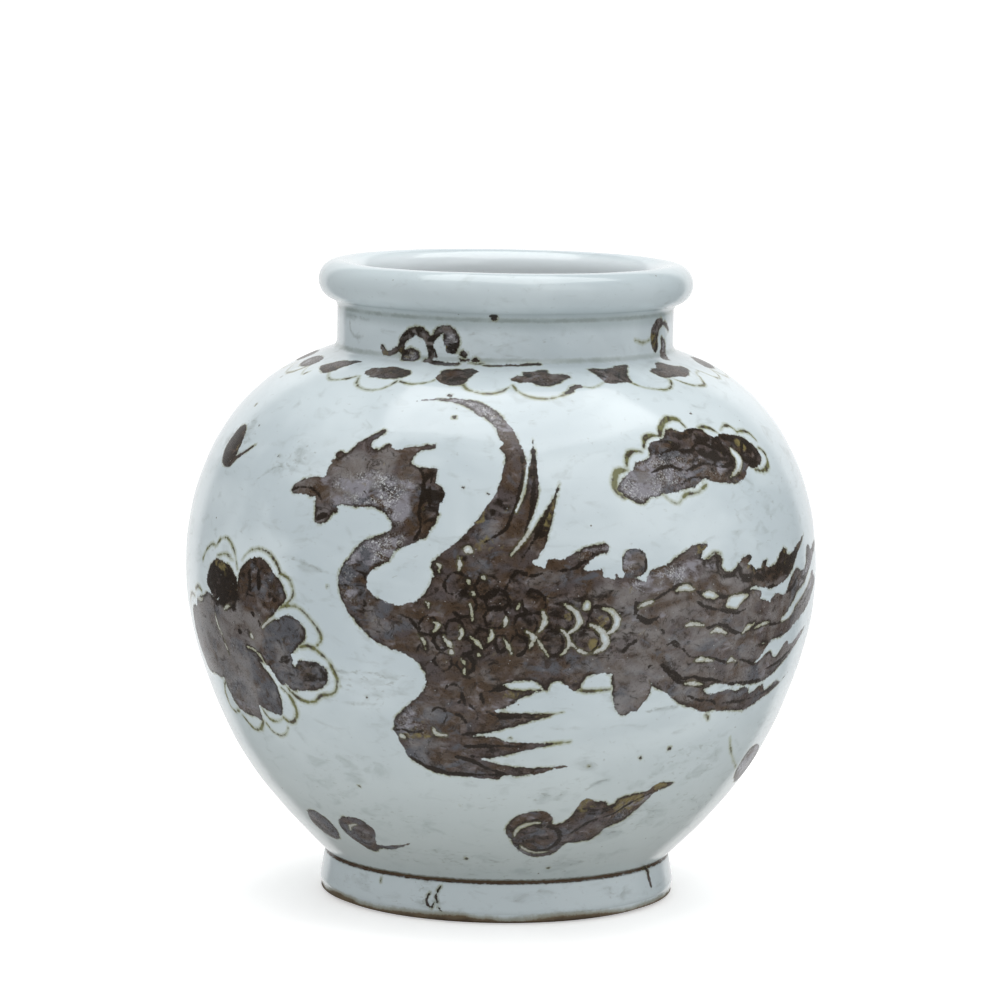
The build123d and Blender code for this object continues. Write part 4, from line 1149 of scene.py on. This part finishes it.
def iron_wash(tree, place, colours, marks, pools):
    """The iron pigment where it lies thick. It dried as a wash does, so rust brown, plum and slate run into each
    other in patches, with near black where it gathered, pale grey places where crystals grew in it, and ochre where
    it thinned. Near-white speckles in the pale places are painted sheen, where light glints on the crystals, and the
    small pale dots all over it are partly pinholes that show the glaze and partly painted glints. The marks on the
    piece say where each is found most."""
    brushed = add(tree, "Mapping", {"Vector": place, "Scale": (1, 1, 1.5)})[0]
    ink = laid_over(tree, colours.rust, colours.plum, mottling(tree, brushed, 17, 3.0), 0.40, 0.62)
    ink = laid_over(tree, ink, linear(UMBER), mottling(tree, brushed, 8, 3.0), 0.50, 0.68, 0.7)
    ink = laid_over(tree, ink, colours.slate, mottling(tree, brushed, 11, 3.0, marks["slate"], 0.24),
                    0.58, 0.78, 0.95)
    ink = laid_over(tree, ink, linear(BURNT), mottling(tree, place, 5, 3.0), 0.53, 0.68, 0.75)
    ink = laid_over(tree, ink, linear(MILKY), mottling(tree, brushed, 14, 3.0, marks["milky"], 0.30),
                    0.50, 0.90, 0.75)
    ink = laid_over(tree, ink, linear(CRYSTALS), mottling(tree, brushed, 8, 5.0, marks["pale"], 0.24),
                    0.60, 0.80, 0.95)
    grains = mottling(tree, place, 0.8, 3.0)
    # Painted sheen: near-white speckles where the pale mark and the pools meet, where light glints on the crystals
    ink = laid_over(tree, ink, linear(SHEEN_SPECKS), grains, 0.50, 0.64, 0.8,
                    maths(tree, "MULTIPLY", marks["pale"], pools))
    ink = laid_over(tree, ink, colours.black, mottling(tree, brushed, 7, 4.0, marks["dark"], 0.24), 0.58, 0.76, 0.95)
    ink = laid_over(tree, ink, colours.ochre, mottling(tree, place, 4.4, 4.0, marks["ochre"], 0.26), 0.63, 0.88, 0.9)
    ridge = maths(tree, "ABSOLUTE", maths(tree, "SUBTRACT", mottling(tree, place, 9, 4.0), 0.5))
    ink = laid_over(tree, ink, colours.black, ridge, 0.026, 0.004, 0.6, pools)
    # Small pale dots all over the iron: partly pinholes that show the glaze, partly painted glints
    cells = add(tree, "TexVoronoi", {"Vector": place, "Scale": per(4.5)})
    return laid_over(tree, ink, linear(PINHOLE_AND_GLINT_DOT), cells["Distance"], 0.075, 0.04, 0.6), grains


def painted_glaze_material(colours):
    """Iron-painted stoneware under a glossy glaze, fired in reduction.

    The glaze gives a wet, pale blue-grey face. Where the brush left much iron it breaks through as a
    brown to plum skin, less glossy and a little raised, almost black where it ran to the edges. Where
    it is thin it dissolves in the glaze and goes olive."""
    material, tree, place = new_material("iron_painted_glaze")
    marks = {name: add(tree, "Attribute", attribute_name=name)["Fac"]
             for name in ("pigment", "bare", "thin", "drawn", "pale", "dark", "slate", "ochre", "milky", "smoky")}
    wander = ragged_edge(tree, place)
    pools = ramp(tree, mottling(tree, place, 13, 4.0), 0.42, 0.58)
    colour, skin, height = pale_glaze(tree, place, colours, marks["smoky"])
    colour = stained_and_shaded_belts(tree, colour, height, wander, pools)

    # The wiped foot, from stained glaze down to clay
    worn = maths(tree, "MULTIPLY_ADD", wander, 0.6 * MM, height)
    worn = maths(tree, "MULTIPLY_ADD", mottling(tree, place, 45, 3.0), 9 * MM, worn)
    colour = laid_over(tree, colour, linear(STAINED), worn, *in_metres(STAINED_FOOT), 0.8)
    colour = laid_over(tree, colour, linear(WIPED), worn, *in_metres(WIPED_FOOT))
    colour = laid_over(tree, colour, linear(TOASTED), worn, *in_metres(TOASTED_FOOT), 0.75, pools)

    # Thin strokes are olive, with brown where the brush was fuller
    fuller = maths(tree, "MULTIPLY_ADD", pools, 0.8, -0.35)
    thin = maths(tree, "ADD", moved(tree, marks["thin"], wander, 0.5), fuller)
    colour = laid_over(tree, colour, linear(OLIVE_HALO), thin, -1.6, 0.1, 0.55)
    stroke = laid_over(tree, colours.olive, linear(FULL_BRUSH), mottling(tree, place, 5, 4.0), 0.44, 0.60)
    colour = laid_over(tree, colour, stroke, thin, -0.3, 0.7, 0.95)

    # Where the paint is, with the places left bare in it, and the iron that ran out of it
    outer = moved(tree, marks["pigment"], wander, 1.0)
    gaps = moved(tree, marks["bare"], wander, 0.75)
    kept = maths(tree, "MULTIPLY", gaps, -1.0)
    inside = maths(tree, "MINIMUM", outer, kept)
    near = ramp(tree, gaps, -1.6, -0.8)
    within = ramp(tree, outer, -0.3, 0.3)
    near = maths(tree, "MULTIPLY", near, within)
    colour = laid_over(tree, colour, linear(SCRAPED), gaps, 1.9, 0.2, 0.62, near)
    colour = laid_over(tree, colour, linear(RUN_OUT), inside, -1.5, 0.1, 0.8, pools)

    ink, grains = iron_wash(tree, place, colours, marks, pools)
    drawn = maths(tree, "ADD", moved(tree, marks["drawn"], wander, 0.8), fuller)
    ink = laid_over(tree, ink, colours.black, drawn, -0.35, 0.2, 0.94)
    ink = laid_over(tree, ink, colours.olive, gaps, -1.1, -0.3, 0.45)
    rim = maths(tree, "MULTIPLY_ADD", pools, -1.8, inside)
    ink = laid_over(tree, ink, linear(INK_RIM), rim, 0.7, -1.2, 0.9)
    covered = ramp(tree, inside, -0.2, 0.2, kind="SMOOTHSTEP")
    colour = add(tree, "Mix", {0: covered, 6: colour, 7: ink}, data_type="RGBA")[2]

    dry = maths(tree, "MULTIPLY_ADD", grains, GRAINS_ROUGHER, INK_ROUGHER)
    roughness = maths(tree, "MULTIPLY_ADD", covered, dry, GLAZE_ROUGHNESS)
    bare_clay = ramp(tree, worn, *in_metres(DRY_FOOT), last=CLAY_ROUGHER)
    roughness = maths(tree, "ADD", roughness, bare_clay)
    lift = maths(tree, "MULTIPLY_ADD", grains, 0.5, 0.6)
    raised = maths(tree, "MULTIPLY_ADD", covered, lift, skin)
    finish(tree, colour, roughness, raised, distance=0.16)
    return material


def plain_glaze_material(colours, deep):
    """The same feldspar glaze inside the jar, darker towards the bottom and with no painting. It keeps its gloss,
    over the slow swells that the thrower's hand left in the wall, 130 mm from one to the next."""
    material, tree, place = new_material("inside_feldspar_glaze")
    colour, skin, height = pale_glaze(tree, place, colours)
    # Darker towards the bottom of the jar, from 270 mm down to 50 mm
    colour = laid_over(tree, colour, deep, height, *in_metres(DEEP_WALL))
    colour = laid_over(tree, colour, linear(INSIDE_STAIN), mottling(tree, place, 14, 5.0), 0.62, 0.72, 0.5)
    swells = add(tree, "TexWave", {"Vector": place, "Scale": WAVE_LENGTH * per(130), "Distortion": 1.5,
                                   "Detail": 2.0, "Detail Scale": 0.6}, bands_direction="Z")["Fac"]
    roughness = maths(tree, "MULTIPLY_ADD", skin, 0.06, GLAZE_ROUGHNESS)
    thrown = maths(tree, "MULTIPLY_ADD", swells, 1.2, skin)
    finish(tree, colour, roughness, thrown, distance=0.4)
    return material


def stoneware_material(face, flash):
    """Bare stoneware, turned on the wheel and fired without glaze: a dry, gritty, warm grey-brown face
    with rings from the turning tool, toasted darker where the flame and the kiln shelf touched it."""
    material, tree, place = new_material("turned_stoneware")
    colour = laid_over(tree, face, flash, mottling(tree, place, 22, 5.0), 0.38, 0.60)
    grit = mottling(tree, place, 1.1, 3.0)
    colour = laid_over(tree, colour, linear(GRIT), grit, 0.56, 0.70, 0.6)
    turned = add(tree, "Mapping", {"Vector": place, "Scale": (1, 1, 8)})[0]
    lines = mottling(tree, turned, 9, 4.0)
    colour = laid_over(tree, colour, linear(TOOL_LINES), lines, 0.54, 0.66, 0.35)
    rough = maths(tree, "MULTIPLY_ADD", lines, 0.2, 0.72)
    face_height = maths(tree, "MULTIPLY_ADD", grit, 0.6, lines)
    finish(tree, colour, rough, face_height, distance=0.35, ior=1.5, strength=0.6)
    return material


def length(name, description, metres, precision=2, **limits):
    """A length that the user can change."""
    return FloatProperty(name=name, description=description, default=metres, unit="LENGTH",
                         precision=precision, **limits)


class GlazeSettings(bpy.types.PropertyGroup):
    """Sizes of the glaze skin."""

    step: length("Step", "Spacing of the points that carry the painting", 0.8 * MM, 5,
                 min=0.5 * MM, max=4 * MM)
    gores: IntProperty(name="Gores", description="Upright pieces that the skin is divided into",
                       default=8, min=6, max=12)
    seam: length("First seam", "Way round from the front to the first seam", -240 * MM, 4)


def colour_choice(name, description, colour):
    """A colour that the user can change, with its default as an sRGB hex value."""
    return FloatVectorProperty(name=name, description=description, subtype="COLOR", size=4, min=0, max=1,
                               default=linear(colour))


class PaintSettings(bpy.types.PropertyGroup):
    """Colours of the glaze and of the iron painting in it."""

    glaze: colour_choice("Glaze", "The glaze over most of the jar", "#bfcbd0")
    # The pooled glaze colour is also laid on the foot as painted light
    glaze_light: colour_choice("Pooled glaze", "The glaze where it lies thick", "#cfdade")
    # The lower glaze colour is painted shade low on the wall
    glaze_low_shade: colour_choice("Lower glaze", "The glaze towards the foot", "#b8c1c0")
    smoke: colour_choice("Smoke", "Where smoke greyed the glaze", "#9ca5a5")
    rust: colour_choice("Rust brown", "The warmer colour of the thick iron", "#493828")
    plum: colour_choice("Plum", "The cooler colour of the thick iron", "#4e4544")
    slate: colour_choice("Slate", "Iron that went to blue grey", "#54565c")
    black: colour_choice("Iron black", "Iron that gathered at an edge", "#20160a")
    olive: colour_choice("Olive", "Iron that dissolved in the glaze", "#66673f")
    ochre: colour_choice("Ochre", "Iron thin enough to show gold", "#7b7045")


class ClaySettings(bpy.types.PropertyGroup):
    """Colours of the parts that are not painted."""

    clay: colour_choice("Clay", "Face of the bare stoneware", "#8a7760")
    flash: colour_choice("Flashing", "Stoneware that the flame toasted", "#6c5740")
    deep: colour_choice("Deep glaze", "Glaze pooled in the bottom of the jar", "#9aa5a6")


class StudioSettings(bpy.types.PropertyGroup):
    """The camera, the floor and the light."""

    distance: length("Camera distance", "From the jar's axis to the camera", 2.3525, 4)
    camera_height: length("Camera height", "Height of the camera over the floor", 0.5023, 4)
    camera_side: length("Camera side", "How far the camera stands to the right", -0.00125, 5)
    pitch: FloatProperty(name="Pitch", description="How far the camera looks down",
                         default=np.radians(7.194), unit="ROTATION", precision=4)
    roll: FloatProperty(name="Roll", description="How far the camera leans over",
                        default=np.radians(0.95), unit="ROTATION", precision=4)
    lens: FloatProperty(name="Lens", description="Focal length on a sensor 36 mm wide",
                        default=163.93, unit="CAMERA", precision=2)
    softbox: FloatVectorProperty(name="Softbox", description="Middle of the softbox over the jar",
                                 subtype="TRANSLATION", default=(0.10, 0.17, 2.15), size=3)
    softbox_width: length("Softbox width", "Width of the softbox", 1.95)
    softbox_depth: length("Softbox depth", "Depth of the softbox", 1.85)
    softbox_power: FloatProperty(name="Softbox power", description="Power of the softbox in watts",
                                 default=31, min=0, unit="POWER")
    fill: FloatVectorProperty(name="Fill", description="Middle of the dim softbox in front on the right",
                              subtype="TRANSLATION", default=(1.0, -1.2, 1.62), size=3)
    fill_power: FloatProperty(name="Fill power", description="Power of the dim softbox in watts",
                              default=3.0, min=0, unit="POWER")
    room: FloatProperty(name="Room light", description="Strength of the even light of the room",
                        default=0.69, min=0, max=2)


class JAR_OT_glaze_skin(bpy.types.Operator):
    """Make the coat of glaze outside, with its painting, and put it in place of the plain coat"""

    bl_idname = "jar.glaze_skin"
    bl_label = "Painted glaze"

    def execute(self, context):
        sizes = context.scene.jar_glaze
        radius, height, way = skin_profile(sizes.step / MM)
        columns = int(np.ceil(WAY_ROUND / (sizes.step / MM) / sizes.gores)) * sizes.gores
        around = sizes.seam / MM + WAY_ROUND * np.arange(columns) / columns
        fields = painted_wall(around, way, radius)
        places, directions = skin_points(around, radius, height, way)
        material = painted_glaze_material(context.scene.jar_paint)
        each = columns // sizes.gores
        for gore in range(sizes.gores):
            kept = np.arange(gore * each, (gore + 1) * each + 1)
            turned = kept % columns
            marks = {name: values[:, turned] for name, values in fields.items()}
            u = np.broadcast_to((kept / columns)[None], (len(way), len(kept)))
            v = np.broadcast_to(((way - way[0]) / (way[-1] - way[0]))[:, None], u.shape)
            piece = add_grid(f"glaze_gore_{gore + 1}", places[:, turned], directions[:, turned], marks,
                             np.stack([u, v], axis=-1))
            piece.data.materials.append(material)
            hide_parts("outer_glaze")
            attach(piece, "root")
        return {"FINISHED"}


class JAR_OT_clay(bpy.types.Operator):
    """Give the thrown clay parts and the glaze inside their materials"""

    bl_idname = "jar.clay"
    bl_label = "Clay and inside"

    def execute(self, context):
        colours = context.scene.jar_clay
        clay = stoneware_material(colours.clay, colours.flash)
        inside = plain_glaze_material(context.scene.jar_paint, colours.deep)
        for name in ("foot_ring", "lower_bowl", "upper_bowl", "neck_collar", "rim_roll"):
            put_on(name, clay)
        put_on("inner_glaze", inside)
        return {"FINISHED"}


class JAR_OT_stage(bpy.types.Operator):
    """Set up the floor, the even light of the room, the two softboxes and the camera"""

    bl_idname = "jar.stage"
    bl_label = "Studio"

    def execute(self, context):
        studio = context.scene.jar_studio
        make_floor()
        make_room(context.scene, studio.room)
        make_softboxes(studio)
        make_camera(context.scene, studio)
        context.scene.view_settings.view_transform = "Standard"
        return {"FINISHED"}


def put_on(node, material):
    """Gives a solid of the frame its material."""
    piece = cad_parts[node]
    piece.data.materials.clear()
    piece.data.materials.append(material)


# The paper sweep in metres: half its width, where its flat part begins and ends, and the radius of its bend
SWEEP_HALF, SWEEP_FRONT, SWEEP_BACK, SWEEP_RADIUS = 4.2, -6, 3, 3
SWEEP_ROWS, SWEEP_COLUMNS = 40, 9

# How far the paper glows towards the camera, so that it shows white
PAPER_GLOW = 0.46

# The room as the glaze mirrors it. A direction is a unit vector: the lit end begins between two shares of
# it towards the back, the table between two shares downwards, and the card lies on the right, within
# half a span of a middle sideways and upwards, and before a share towards the back.
DIM_ROOM, LIT_END = 0.12, (0.76, 0.84)
TABLE_LEVEL, TABLE_BELOW = 0.36, (-0.1, -0.6)
CARD_LEVEL, CARD_SIDE, CARD_UP, CARD_FRONT = 0.55, (0.82, 0.2), (0.1, 0.5), 0.28

# Where both softboxes look, and the width and depth of the dim one, in metres
SOFTBOX_AIM, FILL_SIZE = (0, 0, 0.22), 1.0

# The camera's sensor in millimetres, and the nearest and furthest that it sees, in metres
SENSOR, NEAREST, FURTHEST = 36.0, 0.05, 60.0


def make_floor():
    """A white seamless paper sweep: flat under the jar, and a quarter circle up behind it. It shows white
    to the camera and keeps the jar's soft shadow. Glossy rays pass it and see the room instead."""
    run = np.linspace(0, 1, SWEEP_ROWS)
    bend = np.clip((run - 0.5) * 2, 0, 1) * np.pi / 2
    y = np.where(run < 0.5, SWEEP_FRONT + 2 * (SWEEP_BACK - SWEEP_FRONT) * run,
                 SWEEP_BACK + SWEEP_RADIUS * np.sin(bend))
    z = np.where(run < 0.5, 0, SWEEP_RADIUS - SWEEP_RADIUS * np.cos(bend))
    x = np.linspace(-SWEEP_HALF, SWEEP_HALF, SWEEP_COLUMNS)
    places = np.stack(np.broadcast_arrays(x[None], y[:, None], z[:, None]), axis=-1)
    lie = np.stack(np.broadcast_arrays(x[None] / (2 * SWEEP_HALF) + 0.5, run[:, None]), axis=-1)
    floor = add_grid("paper_sweep", places, None, {}, lie)
    material, tree, place = new_material("white_paper")
    fibres = noise(tree, place, 60, 3.0)
    colour = laid_over(tree, linear(PAPER), linear(PAPER_LIGHT), fibres, 0.3, 0.7)
    seen = add(tree, "LightPath")
    shown = maths(tree, "MAXIMUM", seen["Is Camera Ray"], seen["Is Transmission Ray"])
    shown = maths(tree, "MULTIPLY", shown, PAPER_GLOW)
    glow = add(tree, "Emission", {"Color": (1, 1, 1, 1), "Strength": shown})[0]
    paper = add(tree, "BsdfPrincipled", {"Base Color": colour, "Roughness": 0.9})[0]
    both = add(tree, "AddShader", {0: paper, 1: glow})[0]
    add(tree, "OutputMaterial", {"Surface": both})
    floor.data.materials.append(material)
    floor.visible_glossy = False


def make_room(scene, strength):
    """Even light from all round, and a white background where the camera sees past the paper. In the
    glaze the lit end of the room, behind the jar, shows white too, the table under the jar grey, a card
    on the right pale, and the rest of the room dim."""
    world = bpy.data.worlds.new("studio_room")
    world.use_nodes = True
    tree = world.node_tree
    tree.nodes.clear()
    seen = add(tree, "LightPath")
    toward = add(tree, "SeparateXYZ", {0: add(tree, "TexCoord")["Generated"]})
    shown = ramp(tree, toward["Y"], *LIT_END, first=DIM_ROOM)
    table = ramp(tree, toward["Z"], *TABLE_BELOW, last=TABLE_LEVEL)
    card = maths(tree, "COMPARE", toward["X"], *CARD_SIDE)
    tall = maths(tree, "COMPARE", toward["Z"], *CARD_UP)
    front = maths(tree, "LESS_THAN", toward["Y"], CARD_FRONT)
    for share in (tall, front, CARD_LEVEL):
        card = maths(tree, "MULTIPLY", card, share)
    for other in (table, card):
        shown = maths(tree, "MAXIMUM", shown, other)
    mirrored = maths(tree, "MULTIPLY", seen["Is Glossy Ray"], shown)
    straight = maths(tree, "MAXIMUM", seen["Is Camera Ray"], seen["Is Transmission Ray"])
    sharp = maths(tree, "MAXIMUM", straight, seen["Is Glossy Ray"])
    spread = maths(tree, "MULTIPLY_ADD", sharp, -strength, strength)
    level = maths(tree, "MAXIMUM", straight, mirrored)
    level = maths(tree, "ADD", level, spread)
    back = add(tree, "Background", {"Color": (1, 1, 1, 1), "Strength": level})[0]
    add(tree, "OutputWorld", {"Surface": back})
    scene.world = world


def make_softboxes(studio):
    """Two softboxes that look at the jar: the large one over it puts the long highlight on its shoulder,
    and the dim one in front on the right draws that highlight down its side."""
    for name, place, width, height, power in (
        ("softbox_above", studio.softbox, studio.softbox_width, studio.softbox_depth, studio.softbox_power),
        ("softbox_fill", studio.fill, FILL_SIZE, FILL_SIZE, studio.fill_power),
    ):
        lamp = bpy.data.lights.new(name, "AREA")
        lamp.shape, lamp.size, lamp.size_y, lamp.energy = "RECTANGLE", width, height, power
        stand = bpy.data.objects.new(name, lamp)
        stand.location = place
        stand.rotation_euler = (Vector(place) - Vector(SOFTBOX_AIM)).to_track_quat("Z", "Y").to_euler()
        stand.visible_camera = False
        bpy.context.scene.collection.objects.link(stand)


def make_camera(scene, studio):
    """The photograph's camera: far off, a little above the jar and leaning by less than a degree."""
    data = bpy.data.cameras.new("photograph_camera")
    data.sensor_width, data.lens, data.clip_start, data.clip_end = SENSOR, studio.lens, NEAREST, FURTHEST
    camera = bpy.data.objects.new("photograph_camera", data)
    tilt = Matrix.Rotation(np.pi / 2 - studio.pitch, 4, "X") @ Matrix.Rotation(studio.roll, 4, "Z")
    place = Matrix.Translation((studio.camera_side, -studio.distance, studio.camera_height))
    camera.matrix_world = place @ tilt
    scene.collection.objects.link(camera)
    scene.camera = camera


class JAR_PT_panel(bpy.types.Panel):
    """Lists the pieces of the jar and their settings."""

    bl_idname = "JAR_PT_panel"
    bl_label = "Storage jar"
    bl_space_type = "VIEW_3D"
    bl_region_type = "UI"
    bl_category = "Jar"

    def draw(self, context):
        for operator, groups in ((JAR_OT_glaze_skin, ("jar_glaze", "jar_paint")), (JAR_OT_clay, ("jar_clay",)),
                                 (JAR_OT_stage, ("jar_studio",))):
            box = self.layout.box()
            for group in groups:
                settings = getattr(context.scene, group)
                for name in type(settings).__annotations__:
                    box.prop(settings, name)
            box.operator(operator.bl_idname)


GROUPS = {"jar_glaze": GlazeSettings, "jar_paint": PaintSettings, "jar_clay": ClaySettings,
          "jar_studio": StudioSettings}
CLASSES = (*GROUPS.values(), JAR_OT_glaze_skin, JAR_OT_clay, JAR_OT_stage, JAR_PT_panel)


def register():
    """Adds the classes and the settings to Blender."""
    for each in CLASSES:
        bpy.utils.register_class(each)
    for name, group in GROUPS.items():
        setattr(bpy.types.Scene, name, PointerProperty(type=group))


def unregister():
    """Takes them out again."""
    for name in GROUPS:
        delattr(bpy.types.Scene, name)
    for each in reversed(CLASSES):
        bpy.utils.unregister_class(each)


def main():
    """Builds the whole scene."""
    register()
    bpy.ops.jar.glaze_skin()
    bpy.ops.jar.clay()
    bpy.ops.jar.stage()
    bpy.context.view_layer.update()


if __name__ == "__main__":
    main()
